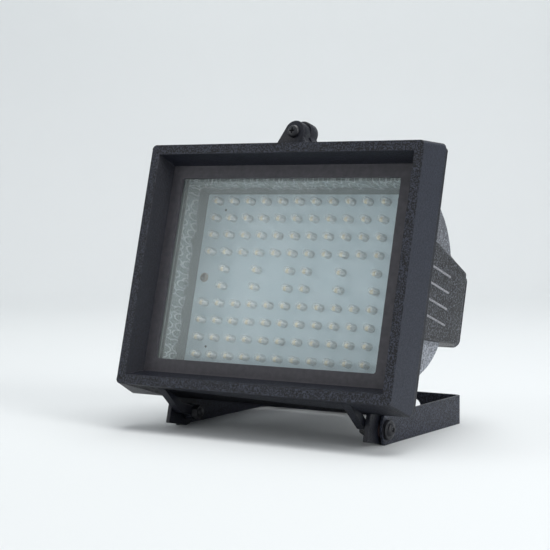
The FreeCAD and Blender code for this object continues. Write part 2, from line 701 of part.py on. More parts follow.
def glass_gasket():
    """A rubber frame that grips the pane all round, with a bead that rises to the window."""
    glass_width = SEAL_WIDTH - 2 * SEAL_WALL
    glass_height = SEAL_HEIGHT - 2 * SEAL_WALL
    gap = size("fit_gap")
    seal = new_body("seal")
    radius = size("rim_radius") / 2
    outside = rounded_rectangle(seal, "seal_line", SEAL_WIDTH, SEAL_HEIGHT, radius, SEAL_FRONT)
    pad(seal, "seal_plate", outside, SEAL_BACK - SEAL_FRONT, backwards=True)
    tapered(
        seal, "seal_bead",
        (WINDOW_WIDTH + gap, WINDOW_HEIGHT + gap, radius, SEAL_FRONT - size("seal_rise")),
        (THROAT_WIDTH - gap, THROAT_HEIGHT - gap, radius, SEAL_FRONT + gap),
    )
    tools = new_body("seal_opening")
    tapered(
        tools, "seal_window",
        (WINDOW_WIDTH, WINDOW_HEIGHT, radius, ZERO),
        (WINDOW_WIDTH, WINDOW_HEIGHT, radius, GLASS_FRONT + gap),
    )
    tapered(
        tools, "seal_groove",
        (glass_width, glass_height, radius, GLASS_FRONT),
        (glass_width, glass_height, radius, SEAL_BACK - size("seal_lip")),
    )
    behind_width = SEAL_WIDTH - 2 * size("seal_back_lip")
    behind_height = SEAL_HEIGHT - 2 * size("seal_back_lip")
    tapered(
        tools, "seal_behind",
        (behind_width, behind_height, radius, GLASS_FRONT + gap),
        (behind_width, behind_height, radius, SKIRT_DEPTH),
    )
    node(cut("seal_finished", seal, [tools]), "glass_gasket")


def seal_clips():
    """Plates behind the seal, each with one countersunk screw into a post of the frame."""
    clips, screws = [], []
    gap = size("fit_gap")
    thickness = size("clip_thickness")
    width = size("clip_width")
    shift = CLIP_REACH / 2 - size("clip_boss_diameter") / 2
    shank_size = size("small_screw_diameter")
    head_size = shank_size + 2 * thickness
    for name, (way_x, way_z), x, z in clip_places():
        across = CLIP_REACH if way_x else width
        up = CLIP_REACH if way_z else width
        plate = block(
            f"{name}_plate", across, thickness, up, x + shift * way_x, SEAL_BACK, z + shift * way_z)
        sink = cone(f"{name}_sink", shank_size + 2 * gap, head_size, thickness, x, SEAL_BACK, z)
        clips.append(cut(f"{name}_clip", plate, [sink]))
        shank = cylinder(f"{name}_shank", shank_size, 3 * WALL, x, SEAL_BACK - 3 * WALL, z)
        head = cone(f"{name}_head", shank_size, head_size - 2 * gap, thickness, x, SEAL_BACK, z)
        screws.append(joined(f"{name}_screw", [shank, head]))
    node(group("all_clips", clips), "glass_clips")
    node(group("all_clip_screws", screws), "clip_screws")


def closing_screw():
    face = SKIRT_DEPTH - size("latch_thickness")
    shank_length = 2 * size("latch_thickness") + size("door_gap") - OVERLAP
    shank = cylinder(
        "closing_shank", size("closing_screw_diameter"), shank_length, ZERO, face, LATCH_SCREW_UP)
    head = cylinder(
        "closing_head", size("closing_head_diameter"), size("closing_head_height"), ZERO,
        face - size("closing_head_height"), LATCH_SCREW_UP)
    node(joined("closing_parts", [shank, head]), "closing_screw")


def trough(name, inset):
    """The curved trough behind the flange, drawn from the side and padded across the lamp."""
    past = OVERLAP.number
    start = FLANGE_BACK.number - (past if inset == 0 else 0)
    mouth = TROUGH_MOUTH.number / 2
    shoulder = TROUGH_SHOULDER.number / 2
    shoulder_depth = size("shoulder_depth").number
    back = size("trough_back").number / 2
    depth = size("trough_depth").number
    slope = math.atan2(mouth - shoulder, shoulder_depth - start)
    mouth -= inset / math.cos(slope)
    shoulder -= inset * math.cos(slope)
    shoulder_depth -= inset * math.sin(slope)
    back -= inset / 2
    depth -= inset
    chord_y = depth - shoulder_depth
    chord_z = shoulder - back
    chord = math.hypot(chord_y, chord_z)
    bulge = size("trough_bulge").number
    middle_y = shoulder_depth + chord_y / 2 + bulge * chord_z / chord
    middle_z = back + chord_z / 2 + bulge * chord_y / chord
    body = new_body(name)
    profile = outline(body, f"{name}_line", "YZ_Plane", (
        (start, mouth),
        (shoulder_depth, shoulder),
        (depth, back, middle_y, middle_z),
        (depth, -back),
        (shoulder_depth, -shoulder, middle_y, -middle_z),
        (start, -mouth),
    ))
    pad(body, f"{name}_run", profile, TROUGH_LENGTH - 2 * inset, middle=True)
    half = TROUGH_LENGTH.number / 2 - inset
    draft = size("trough_draft").number
    for side, word in SIDES:
        wedge = outline(body, f"{name}_{word}_draft_line", "XY_Plane", (
            (side * half, start),
            (side * (half - draft), depth),
            (side * (half - draft), depth + past),
            (side * (half + past), depth + past),
            (side * (half + past), start),
        ))
        pocket_through(body, f"{name}_{word}_draft", wedge)
    return body


def rear_box(name, inset, rise=ZERO):
    """The tapered box behind the trough; inset shrinks it and rise grows it all round."""
    grow = 2 * (as_size(rise) - inset)
    body = new_body(name)
    radius = size("box_radius") - inset / 2
    tapered(
        body, f"{name}_taper",
        (BOX_WIDTH + grow, size("box_height") + grow, radius, FLANGE_BACK - size("fit_gap")),
        (BOX_MOUTH_WIDTH + grow, BOX_MOUTH_HEIGHT + grow, radius, size("box_depth")),
    )
    return body


def side_ribs():
    """Raised ribs with round ends that follow the box's side walls."""
    grown = rear_box("grown_box", ZERO, size("rib_rise"))
    body = new_body("rib_bars")
    edge = size("rib_width").number / 2
    front = size("rib_start").number + edge
    back = size("rib_end").number - edge
    ribs = count("rib_count")
    sketch = new_sketch(body, "rib_line", "YZ_Plane")
    for index in range(ribs):
        up = (index - (ribs - 1) / 2) * size("rib_pitch").number
        draw(sketch, (
            (front, up + edge, front - edge, up),
            (back, up + edge),
            (back, up - edge, back + edge, up),
            (front, up - edge),
        ))
    pad(body, "rib_run", sketch, BOX_WIDTH + 4 * size("rib_rise"), middle=True)
    return common("ribs", grown, body)


def trough_edge(depth):
    """Half the height of the trough's outside at a depth behind the rim."""
    mouth = TROUGH_MOUTH.number / 2
    shoulder = TROUGH_SHOULDER.number / 2
    start = FLANGE_BACK.number
    end = size("shoulder_depth").number
    return mouth - (mouth - shoulder) * (depth - start) / (end - start)


def pivot_lug(name, start):
    radius = size("lug_radius").number
    depth = size("pivot_depth").number
    down = -PIVOT_DROP.number
    bite = HOUSING_WALL.number / 2
    front = size("lug_front").number
    diagonal = radius * math.sqrt(0.5)
    body = new_body(f"pivot_lug_{name}")
    lug = outline(body, f"pivot_lug_{name}_line", "YZ_Plane", (
        (front, -trough_edge(front) + bite),
        (front, down - size("lug_toe").number),
        (depth, down - radius),
        (depth + radius, down, depth + diagonal, down - diagonal),
        (depth + radius, -trough_edge(depth + radius) + bite),
    ), start)
    pad(body, f"pivot_lug_{name}_plate", lug, size("lug_thickness"))
    return body


def cover_screw_places():
    across = BOX_MOUTH_WIDTH / 2 - size("cover_screw_inset")
    up = BOX_MOUTH_HEIGHT / 2 - size("cover_screw_inset")
    return (("a", -across, up), ("b", across, up), ("c", across, -up), ("d", -across, -up))


def box_edge(depth):
    """Half the height of the rear box's outside at a depth behind the rim."""
    return size("box_height") / 2 - size("box_end_taper") * (depth - FLANGE_BACK) / BOX_LENGTH


def gland_inner_seat():
    """How far below the middle the locknut's flat seat inside the rear box is."""
    return box_edge(GLAND_DEPTH + size("gland_boss_diameter") / 2) - HOUSING_WALL


def gland_outer_seat():
    """How far below the middle the gland's flat seat outside the rear box is."""
    return box_edge(GLAND_DEPTH - size("gland_boss_diameter") / 2)


def housing_shell():
    gap = size("fit_gap")
    flange = new_body("flange")
    inset = 2 * FLARE - 2 * size("flange_inset")
    plate = rounded_rectangle(
        flange, "flange_line", FRAME_WIDTH + inset, FRAME_HEIGHT + inset, size("rim_radius"), FLANGE_FRONT)
    pad(flange, "flange_plate", plate, size("flange_thickness"), backwards=True)
    latch = latch_outline(flange, "housing_latch_line", FLANGE_FRONT, size("latch_step").number)
    pad(flange, "housing_latch", latch, size("latch_thickness"), backwards=True)
    boss_top = gland_inner_seat()
    boss = cylinder(
        "gland_boss", size("gland_boss_diameter"), gland_outer_seat() - boss_top, ZERO, GLAND_DEPTH,
        -boss_top, DOWN)
    outside = joined("housing_outside", [
        flange,
        trough("trough_outside", 0),
        rear_box("box_outside", ZERO),
        side_ribs(),
        pivot_lug("left", -LUG_OUTSIDE),
        pivot_lug("right", LUG_INSIDE),
    ])
    window_width = WINDOW_WIDTH + 2 * size("reflector_sheet") + 4 * gap
    window_height = WINDOW_HEIGHT + 2 * size("reflector_sheet") + 4 * gap
    window = block("housing_window", window_width, FLANGE_BACK + gap, window_height)
    battery_room = common("battery_room", rear_box("box_inside", HOUSING_WALL), block(
        "behind_trough", FRAME_WIDTH, size("box_depth"), FRAME_HEIGHT, ZERO, size("trough_depth")))
    hollow = cut("housing_hollowed", outside, [
        window, trough("trough_inside", HOUSING_WALL.number), battery_room])
    partition = size("trough_depth") - HOUSING_WALL
    board_back = size("board_depth") + size("board_thickness")
    posts = [
        cylinder(
            f"board_post_{word}", size("post_diameter"), partition + OVERLAP - board_back,
            side * BOARD_SCREW, board_back, ZERO)
        for side, word in SIDES
    ]
    cover_bosses = [
        cylinder(f"cover_boss_{name}", size("post_diameter"), COVER_BOSS, x,
                 size("box_depth") - COVER_BOSS, z)
        for name, x, z in cover_screw_places()
    ]
    drilled = COVER_BOSS * size("screw_hole_share")
    bars = joined("cover_boss_bars", cover_bosses)
    carried = common("cover_bosses", bars, rear_box("boss_limit", HOUSING_WALL / 2))
    holes = [
        cylinder(
            f"board_post_hole_{word}", size("small_screw_diameter"), BLIND_HOLE,
            side * BOARD_SCREW, board_back, ZERO)
        for side, word in SIDES
    ]
    drill_start = size("box_depth") - drilled
    holes += [
        cylinder(f"cover_boss_hole_{name}", size("cover_screw_diameter"), drilled, x, drill_start, z)
        for name, x, z in cover_screw_places()
    ]
    closing_hole = size("closing_screw_diameter") + 2 * size("closing_hole_clearance")
    holes.append(cylinder(
        "housing_latch_hole", closing_hole, 2 * size("latch_thickness"), ZERO, SKIRT_DEPTH, LATCH_SCREW_UP))
    holes += across_x(
        "lug_hole", PIVOT_HOLE, (LUG_INSIDE + LUG_OUTSIDE) / 2, size("lug_thickness"),
        size("pivot_depth"), -PIVOT_DROP)
    holes.append(cylinder(
        "gland_hole", size("gland_thread") + 2 * gap, size("gland_boss_diameter"), ZERO, GLAND_DEPTH,
        -boss_top + 2 * HOUSING_WALL, DOWN))
    holes.append(cylinder(
        "wire_hole", size("gland_bore"), BLIND_HOLE, ZERO, partition - HOUSING_WALL,
        CELL_DIAMETER + HOUSING_WALL))
    solid = joined("housing_solid", [hollow, *posts, carried, boss])
    node(cut("housing_finished", solid, holes), "housing_shell")


def reflector():
    sheet_size = size("reflector_sheet")
    lean = size("reflector_lean")
    front = FLANGE_FRONT - sheet_size
    radius = sheet_size
    body = new_body("reflector_tray")
    flange = 2 * size("reflector_flange")
    rim = rounded_rectangle(
        body, "reflector_rim_line", WINDOW_WIDTH + flange, WINDOW_HEIGHT + flange, size("rim_radius"), front)
    pad(body, "reflector_rim", rim, sheet_size - size("fit_gap") / 2, backwards=True)
    tapered(
        body, "reflector_walls",
        (WINDOW_WIDTH + 2 * sheet_size, WINDOW_HEIGHT + 2 * sheet_size, radius, front),
        (WINDOW_WIDTH, WINDOW_HEIGHT - 2 * lean + 2 * sheet_size, radius, size("board_depth")),
    )
    hole = new_body("reflector_hole")
    tapered(
        hole, "reflector_inside",
        (WINDOW_WIDTH, WINDOW_HEIGHT, radius, front),
        (WINDOW_WIDTH - 2 * sheet_size, WINDOW_HEIGHT - 2 * lean, radius, size("board_depth")),
    )
    node(cut("reflector_sheet", body, [hole]), "reflector")


def lamp_places():
    """Middle of each lamp; the two middle rows leave every lamp out but three on each side."""
    columns = count("lamp_columns")
    rows = count("lamp_rows")
    sparse = (2, 4, 6)
    kept = set(sparse) | {columns + 1 - column for column in sparse}
    middle_rows = {rows // 2, rows // 2 + 1}
    pitch_across = (WINDOW_WIDTH - 2 * size("lamp_side_margin")) / (columns - 1)
    pitch_up = (WINDOW_HEIGHT - 2 * size("lamp_row_margin")) / (rows - 1)
    for row_number in range(1, rows + 1):
        for column in range(1, columns + 1):
            if row_number in middle_rows and column not in kept:
                continue
            across = (column - (columns + 1) / 2) * pitch_across.number
            up = ((rows + 1) / 2 - row_number) * pitch_up.number
            yield across, up


def lamp_board():
    gap = size("fit_gap")
    inside = WINDOW_HEIGHT - 2 * size("reflector_lean")
    height = inside + 2 * size("reflector_sheet") + 2 * size("board_margin")
    plate = block(
        "board_plate", WINDOW_WIDTH, size("board_thickness") - gap, height, ZERO, size("board_depth") + gap)
    holes = [
        cylinder(
            f"board_hole_{word}", size("small_screw_diameter") + 2 * gap, 2 * size("board_thickness"),
            side * BOARD_SCREW, size("board_depth"), ZERO)
        for side, word in SIDES
    ]
    node(cut("board_finished", plate, holes), "led_board")
    prism = doc.addObject("Part::Prism", "lens_barrel")
    prism.Polygon = 8
    barrel = size("lamp_height") - size("lamp_diameter") / 2
    bind(prism, Circumradius=size("lamp_diameter") / 2, Height=barrel)
    put(prism, ZERO, size("board_depth") + gap, ZERO, Rotation(Vector(1, 0, 0), 90))
    doc.recompute()
    radius = size("lamp_diameter").number / 2
    ring = prism.Shape.Faces[-1].OuterWire
    tip = ring.copy()
    tip.scale(size("lamp_tip_share").number, ring.CenterOfMass)
    tip.translate(Vector(0, -radius * size("lamp_dome_share").number, 0))
    dome = Part.makeLoft([ring, tip], True, True)
    lamp = prism.Shape.fuse(dome).removeSplitter()
    lamps = doc.addObject("Part::Feature", "lamps")
    lamps.Shape = Part.makeCompound([lamp.translated(Vector(x, 0, z)) for x, z in lamp_places()])
    node(lamps, "led_lamps")


def screw(name, diameter, head_diameter, length, head_height, x, y, z, forwards=True):
    """A screw whose head stands on depth y; forwards heads face the front of the lamp."""
    head_start = y - head_height if forwards else y
    shank_start = y if forwards else y - length
    shank = cylinder(f"{name}_shank", diameter, length, x, shank_start, z)
    head = cylinder(f"{name}_head", head_diameter, head_height, x, head_start, z)
    return joined(name, [shank, head])


def small_screws():
    diameter = size("small_screw_diameter")
    board = [
        screw(f"board_screw_{word}", diameter, 2 * diameter, 3 * HOUSING_WALL, diameter / 2,
              side * BOARD_SCREW, size("board_depth") + size("fit_gap"), ZERO)
        for side, word in SIDES
    ]
    node(group("all_board_screws", board), "board_screws")
    cover = [
        screw(f"cover_screw_{name}", size("cover_screw_diameter"), size("cover_head_diameter"),
              size("cover_thickness") + size("cover_seal_thickness") + COVER_BOSS * size("screw_share"),
              size("cover_head_height"),
              x, COVER_FRONT + size("cover_thickness"), z, forwards=False)
        for name, x, z in cover_screw_places()
    ]
    node(group("all_cover_screws", cover), "rear_cover_screws")
    control = [
        screw(f"control_screw_{word}", diameter, 2 * diameter, 2 * HOUSING_WALL, diameter / 2,
              side * CONTROL_SCREW, CONTROL_DEPTH, ZERO)
        for side, word in SIDES
    ]
    node(group("all_control_screws", control), "control_screws")


def rear_cover():
    radius = size("box_radius")
    cover = new_body("cover_plate")
    plate = rounded_rectangle(cover, "cover_line", BOX_MOUTH_WIDTH, BOX_MOUTH_HEIGHT, radius, COVER_FRONT)
    pad(cover, "cover_sheet", plate, size("cover_thickness"), backwards=True)
    loose = size("cover_screw_diameter") + 4 * size("fit_gap")
    holes = [
        cylinder(f"cover_hole_{name}", loose, 2 * size("cover_thickness"),
                 x, COVER_FRONT - size("cover_thickness") / 2, z)
        for name, x, z in cover_screw_places()
    ]
    posts = []
    back = CONTROL_DEPTH + size("board_thickness")
    for side, word in SIDES:
        x = side * CONTROL_SCREW
        posts.append(cylinder(
            f"control_post_{word}", size("post_diameter"), COVER_FRONT + OVERLAP - back, x, back, ZERO))
        holes.append(cylinder(
            f"control_post_hole_{word}", size("small_screw_diameter"), COVER_FRONT - back, x, back, ZERO))
    node(cut("cover_finished", joined("cover_solid", [cover, *posts]), holes), "rear_cover")


def rear_cover_seal():
    """A flat rubber ring with an ear round each cover screw."""
    seal = new_body("cover_seal")
    outer = rounded_rectangle(
        seal, "cover_seal_line", BOX_MOUTH_WIDTH, BOX_MOUTH_HEIGHT, size("box_radius"), size("box_depth"))
    pad(seal, "cover_seal_sheet", outer, size("cover_seal_thickness"), backwards=True)
    middle = block(
        "cover_seal_middle", BOX_MOUTH_WIDTH - 2 * HOUSING_WALL, 2 * size("cover_seal_thickness"),
        BOX_MOUTH_HEIGHT - 2 * HOUSING_WALL, ZERO, size("box_depth") - size("cover_seal_thickness") / 2)
    ears = [
        cylinder(
            f"seal_ear_{name}", size("post_diameter"), size("cover_seal_thickness"), x, size("box_depth"), z)
        for name, x, z in cover_screw_places()
    ]
    ear_holes = [
        cylinder(f"seal_hole_{name}", size("cover_screw_diameter") + 4 * size("fit_gap"),
                 2 * size("cover_seal_thickness"), x, size("box_depth") - size("cover_seal_thickness") / 2, z)
        for name, x, z in cover_screw_places()
    ]
    ring = joined("cover_seal_ring", [cut("cover_seal_open", seal, [middle]), *ears])
    node(cut("cover_seal_finished", ring, ear_holes), "rear_cover_seal")


def battery_and_control():
    diameter = CELL_DIAMETER
    gap = size("cell_gap")
    length = BOX_MOUTH_WIDTH / 2 - HOUSING_WALL - size("cell_end_room") - gap / 2
    depth = size("trough_depth") + diameter / 2 + size("fit_gap")
    cells = [
        cylinder(f"cell_{across}_{up}", diameter, length, x, depth, z * (diameter + gap) / 2, ALONG_X)
        for across, x in (("left", -length - gap / 2), ("right", gap / 2))
        for up, z in (("lower", -1), ("upper", 1))
    ]
    node(group("cells", cells), "battery_cells")
    board = block("control_plate", CONTROL_WIDTH, size("board_thickness"),
                  size("control_board_height"), ZERO, CONTROL_DEPTH)
    holes = [
        cylinder(f"control_hole_{word}", size("small_screw_diameter") + 2 * size("fit_gap"),
                 2 * size("board_thickness"), side * CONTROL_SCREW,
                 CONTROL_DEPTH - size("board_thickness") / 2, ZERO)
        for side, word in SIDES
    ]
    node(cut("control_finished", board, holes), "control_board")
    terminal_depth = REAR_ROOM * size("terminal_share")
    front = CONTROL_DEPTH - terminal_depth
    terminal = block(
        "terminal_body", size("terminal_width"), terminal_depth, size("terminal_height"), ZERO, front)
    entries = [
        cylinder(f"terminal_entry_{number}", size("terminal_height") / 4, terminal_depth / 2,
                 size("terminal_pitch") * place, front, ZERO)
        for number, place in enumerate((-1.5, -0.5, 0.5, 1.5))
    ]
    node(cut("terminal_finished", terminal, entries), "terminal_block")


def cable_gland():
    gap = size("fit_gap")
    y = GLAND_DEPTH
    seat = gland_outer_seat()
    inside = gland_inner_seat()
    thread = size("gland_thread")
    cap_start = seat + size("gland_hex_height")
    cap = size("gland_cap_height")
    grip = cap * size("gland_grip_share")
    cap_hexagon = cap * size("gland_hexagon_share")
    throat = size("gland_throat")
    lock = size("locknut_height")
    inner_end = inside - gap - lock - gap
    stem = cylinder("gland_stem", thread, cap_start + grip - inner_end, ZERO, y, -inner_end, DOWN)
    flats = size("gland_flats")
    hexagon_part = hexagon("gland_hex", flats, size("gland_hex_height"), ZERO, y, -seat, DOWN)
    bore = cylinder("gland_through", throat, 2 * cap + seat, ZERO, y, OVERLAP - inner_end, DOWN)
    node(cut("gland_finished", joined("gland_solid", [stem, hexagon_part]), [bore]), "gland_body")
    cap_hex = hexagon("cap_hex", size("gland_flats"), cap_hexagon, ZERO, y, -(cap_start + gap), DOWN)
    cap_dome = cone(
        "cap_dome", flats, size("gland_nose"), cap - cap_hexagon, ZERO, y,
        -(cap_start + gap + cap_hexagon), DOWN)
    thread_room = cylinder("cap_room", thread + 2 * gap, grip + gap, ZERO, y, -cap_start, DOWN)
    mouth = cylinder("cap_mouth", throat + 2 * gap, 2 * cap, ZERO, y, -cap_start, DOWN)
    node(cut("cap_finished", joined("cap_solid", [cap_hex, cap_dome]), [thread_room, mouth]), "gland_cap")
    rubber_length = cap * size("gland_rubber_share")
    rubber = cylinder("gland_rubber", throat - 2 * gap, rubber_length, ZERO, y, -cap_start, DOWN)
    cable_hole = cylinder(
        "gland_rubber_hole", size("gland_bore"), 2 * cap, ZERO, y, OVERLAP - cap_start, DOWN)
    node(cut("rubber_finished", rubber, [cable_hole]), "gland_seal")
    nut = hexagon("locknut_hex", size("gland_flats"), lock, ZERO, y, -(inside - gap - lock), DOWN)
    nut_hole = cylinder("locknut_hole", thread + gap, 2 * lock, ZERO, y, -(inside - 2 * lock), DOWN)
    node(cut("locknut_finished", nut, [nut_hole]), "gland_locknut")


def faults():
    found = []
    for piece in doc.Objects:
        if {"Invalid", "Error"} & set(piece.State):
            found.append(f"{piece.Name}: {piece.State}")
    for piece in nodes:
        shape = piece.Shape
        if shape.isNull() or not shape.isValid() or not shape.Solids:
            found.append(f"{piece.Label}: no valid solid")
    return found


tilt_bracket()
pivot_hardware()
front_frame()
glass_pane()
glass_gasket()
seal_clips()
closing_screw()
housing_shell()
reflector()
lamp_board()
small_screws()
rear_cover()
rear_cover_seal()
battery_and_control()
cable_gland()
doc.recompute()

problems = faults()
if problems:
    raise RuntimeError("; ".join(problems))
os.makedirs("parts", exist_ok=True)
for piece in nodes:
    piece.Shape.exportStep(f"parts/{piece.Label}.step")
    print(piece.Label, len(piece.Shape.Solids), "solids", round(piece.Shape.Volume / 1000, 2), "cm3")
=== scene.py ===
import math

import bmesh
import bpy
from mathutils import Matrix, Vector


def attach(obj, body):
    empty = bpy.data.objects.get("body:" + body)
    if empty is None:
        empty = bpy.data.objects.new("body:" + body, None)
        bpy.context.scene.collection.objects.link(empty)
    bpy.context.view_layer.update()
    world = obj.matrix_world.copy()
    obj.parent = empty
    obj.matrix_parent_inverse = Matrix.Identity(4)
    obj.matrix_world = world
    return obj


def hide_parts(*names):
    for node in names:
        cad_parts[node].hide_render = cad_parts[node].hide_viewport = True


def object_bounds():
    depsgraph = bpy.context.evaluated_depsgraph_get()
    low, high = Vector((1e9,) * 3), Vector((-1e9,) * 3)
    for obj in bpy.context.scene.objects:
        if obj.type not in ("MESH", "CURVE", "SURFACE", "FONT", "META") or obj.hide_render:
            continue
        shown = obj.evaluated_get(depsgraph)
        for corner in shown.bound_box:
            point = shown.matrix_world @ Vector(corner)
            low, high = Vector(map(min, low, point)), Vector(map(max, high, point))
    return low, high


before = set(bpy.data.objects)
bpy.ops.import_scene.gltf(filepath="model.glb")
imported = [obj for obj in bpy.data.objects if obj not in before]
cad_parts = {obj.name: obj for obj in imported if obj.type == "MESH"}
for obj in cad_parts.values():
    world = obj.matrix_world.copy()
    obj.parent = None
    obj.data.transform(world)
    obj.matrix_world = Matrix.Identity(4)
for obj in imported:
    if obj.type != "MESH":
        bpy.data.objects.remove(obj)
CAD_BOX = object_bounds()

# The lamp's own frame: its pivots, how far it leans back, and the depths behind its rim
MM = 0.001
TILT = math.radians(15.5)
PIVOT = Vector((0, -96.5 * MM, 0))
PIVOT_DEPTH = 40 * MM
PIVOT_DROP = 87.3 * MM
LAMP = (
    Matrix.Translation(PIVOT)
    @ Matrix.Rotation(-TILT, 4, "X")
    @ Matrix.Translation((0, -PIVOT_DEPTH, PIVOT_DROP))
)
BOARD_DEPTH = 41.1 * MM

# Reflector: where its dimples end, how many fit a metre, how they and their wavy edge are drawn
REFLECTOR_SMOOTH_DEPTH = 31 * MM
DIMPLES_PER_METRE = 195
DIMPLE_SHORTENING = 0.38
DIMPLE_RANDOMNESS = 0.5
END_WALL_FROM = 0.4
BLEND_DEPTH = 1.2 * MM
WAVE_HEIGHT = 4.0

# Screws that show: where each head stands, and its head and shank
PIVOT_HEAD_FACE = 77.5 * MM
PIVOT_HEAD = (3.9 * MM, 3.2 * MM)
PIVOT_WASHER_FACE = (5.8 * MM, 1.1 * MM)
PIVOT_SHANK = (2.5 * MM, 18.9 * MM)
PIVOT_RECESS_TURN = math.radians(20)
CLOSING_FACE_DEPTH = 12 * MM
CLOSING_UP = 88 * MM
CLOSING_HEAD = (4 * MM, 2.8 * MM)
CLOSING_SHANK = (2 * MM, 15.5 * MM)
BOARD_SCREW_ACROSS = 73 * MM
BOARD_HEAD = (3 * MM, 1.5 * MM)
BOARD_SHANK = (1.5 * MM, 9 * MM)

# Pinholes at the left of the board, drawn as dark discs of painted shade
PINHOLES = ((-64 * MM, 45 * MM), (-64 * MM, -45 * MM))
PINHOLE_RADIUS = 0.8 * MM
PINHOLE_RISE = 0.04 * MM
PINHOLE_SEGMENTS = 20

# Rear box: its ribs, the CAD box beneath and the rounding of its cheeks
RIBS = 4
RIB_PITCH = 10 * MM
RIB_WIDTH = 1.5 * MM
RIB_CROWN = 0.8
RIB_STEPS = 6
RIB_END_STEPS = 4
RIB_TIP = 0.05
RIB_START = 47.5 * MM
RIB_END = 77.5 * MM
RIB_FALL = 1 * MM
RIB_MIDDLE_UP = -2 * MM
BOX_FRONT = 24.4 * MM
BOX_BACK = 120 * MM
BOX_HALF_HEIGHT_FRONT = 33.5 * MM
BOX_HALF_HEIGHT_BACK = 23.8 * MM
CHEEK_EDGE = 1.4 * MM
CHEEK_EDGE_STEPS = 5
OUTER_WALL_SLACK = 0.5 * MM
FLANGE_SLACK = 1 * MM

# Depth, inner and outer distance from the middle, and top and bottom of the outer wall
CHEEK_ROWS = (
    (24.5 * MM, 83.2 * MM, 90 * MM, 33.7 * MM, -33.9 * MM),
    (81 * MM, 81.1 * MM, 85.3 * MM, 23.9 * MM, -27.6 * MM),
    (84 * MM, 78.4 * MM, 85.1 * MM, 23.4 * MM, -27.2 * MM),
    (102 * MM, 75.2 * MM, 83.6 * MM, 20.3 * MM, -25.2 * MM),
    (118 * MM, 72.4 * MM, 74.2 * MM, 20.2 * MM, -23.4 * MM),
)

# Coats: where one ends and the next begins, by place and by the way that a face looks
FLANGE_BACK = 24.7 * MM
LUG_ROOT_UP = 77.5 * MM
TROUGH_END_FROM = 80.5 * MM
FRAME_SIDE_FROM = 95 * MM
FORWARDS = -0.6
SIDEWAYS = 0.6
# Heights where the trough's ends begin and finish growing paler, and by how much: painted floor bounce
# light
TROUGH_DARK_ABOVE = 0.12
TROUGH_PALE_BELOW = 0.07
TROUGH_FLOOR_LIGHT = 0.16

# Front plate of the closing lug: round about the screw, its foot wider on the left
LUG_PLATE_FRONT = 11.9 * MM
LUG_PLATE_BACK = 17 * MM
LUG_PLATE_RADIUS = 7.1 * MM
LUG_PLATE_FOOT = (-13.5 * MM, 6.8 * MM)
LUG_PLATE_FOOT_UP = 77.4 * MM
LUG_PLATE_STEPS = 32

# Rounding of cast and bent edges, and which edges count as sharp or as one
FRAME_EDGE = 0.45 * MM
CAST_EDGE = 0.5 * MM
STRAP_EDGE = 0.25 * MM
SHORTEST_EDGE = 0.5 * MM
EDGE_STEPS = 2
ROUND_PROFILE = 0.5
SHARP = math.radians(25)
PLATE_RIM = math.radians(60)
PLATE_FLAT = math.radians(1)
CAD_FLAT = math.radians(0.5)
SAME_POINT = 0.001 * MM

# Lamp grid on the board
COLUMNS = 12
ROWS = 10
PITCH_ACROSS = 12.5 * MM
PITCH_UP = 11.2 * MM
SPARSE_COLUMNS = (2, 4, 6, 7, 9, 11)

# One lamp: radius and height points of its lens and of what it holds, and where each of these stands
LENS_SEGMENTS = 18
LENS_FLANGE = ((0, 0), (2.45 * MM, 0), (2.5 * MM, 0.1 * MM), (2.5 * MM, 0.9 * MM))
BARREL_RADIUS = 2.4 * MM
BARREL_START = 1.1 * MM
LENS_HEIGHT = 8.6 * MM
DOME_STEPS = 6
CUP_PROFILE = (
    (0, 0.6 * MM), (0.8 * MM, 0.6 * MM), (0.9 * MM, 3.2 * MM), (1.85 * MM, 4.6 * MM),
    (1.95 * MM, 5.2 * MM), (1.7 * MM, 5.2 * MM), (1.1 * MM, 4.5 * MM), (0, 4.4 * MM),
)
CUP_SEGMENTS = 14
CUP_PLACE = (-0.1 * MM, -0.35 * MM, 0)
DROP_PROFILE = (
    (0, 4.5 * MM), (1.2 * MM, 4.7 * MM), (1.45 * MM, 5.2 * MM), (1.0 * MM, 5.9 * MM), (0, 6.1 * MM),
)
DROP_SEGMENTS = 12
DROP_PLACE = (-0.3 * MM, -0.75 * MM, 0)
LEG_PROFILE = (
    (0, 0.6 * MM), (0.55 * MM, 0.6 * MM), (0.7 * MM, 3.0 * MM), (0.7 * MM, 5.4 * MM),
    (0.5 * MM, 6.2 * MM), (0, 6.4 * MM),
)
LEG_SEGMENTS = 10
LEG_PLACE = (1.45 * MM, -0.5 * MM, 0)
LEG_STRETCH = 1.6
LEG_LONG_AXIS = Vector((0.45, 0.9, 0)).normalized()

# Screw heads: points as shares of the radius and height of the head or of its washer face
HEAD_SEGMENTS = 36
HEAD_SIDE = ((0.97, 0), (1, 0.08), (1, 0.35))
WASHER_SIDE = ((0.96, 0), (1, 0.3), (1, 0.75), (0.95, 1))
FILLET_RADIUS = 1.12
FILLET_DIP = 0.8
SIDE_ON_WASHER = 0.5
DOME_FULLNESS = 0.7
RECESS_SHARE = 0.6
CROSS_WIDTH = 0.24
CROSS_TAPER = 0.6

# Floor and the wall behind it, turned square to the camera
STAGE_HALF = 6.0
WALL_START = 0.9
WALL_BEND = 0.35
WALL_HEIGHT = 3.0
WALL_TURN = math.radians(33.6)
BEND_STEPS = 8

# Softboxes: name, place, width, height and power; each is aimed at the middle of the part
PART_MIDDLE = (0, -0.05, 0.09)
SOFTBOXES = (
    ("overhead", (0.1, 0.1, 1.5), 1.2, 1.0, 18),
    ("right_window", (1.5, -0.35, 0.8), 0.5, 1.2, 11),
    ("left_fill", (-1.5, -1.3, 0.8), 1.0, 1.0, 6),
)
SKY_COLOUR = (0.91, 0.95, 1.0, 1)
SKY_STRENGTH = 0.4

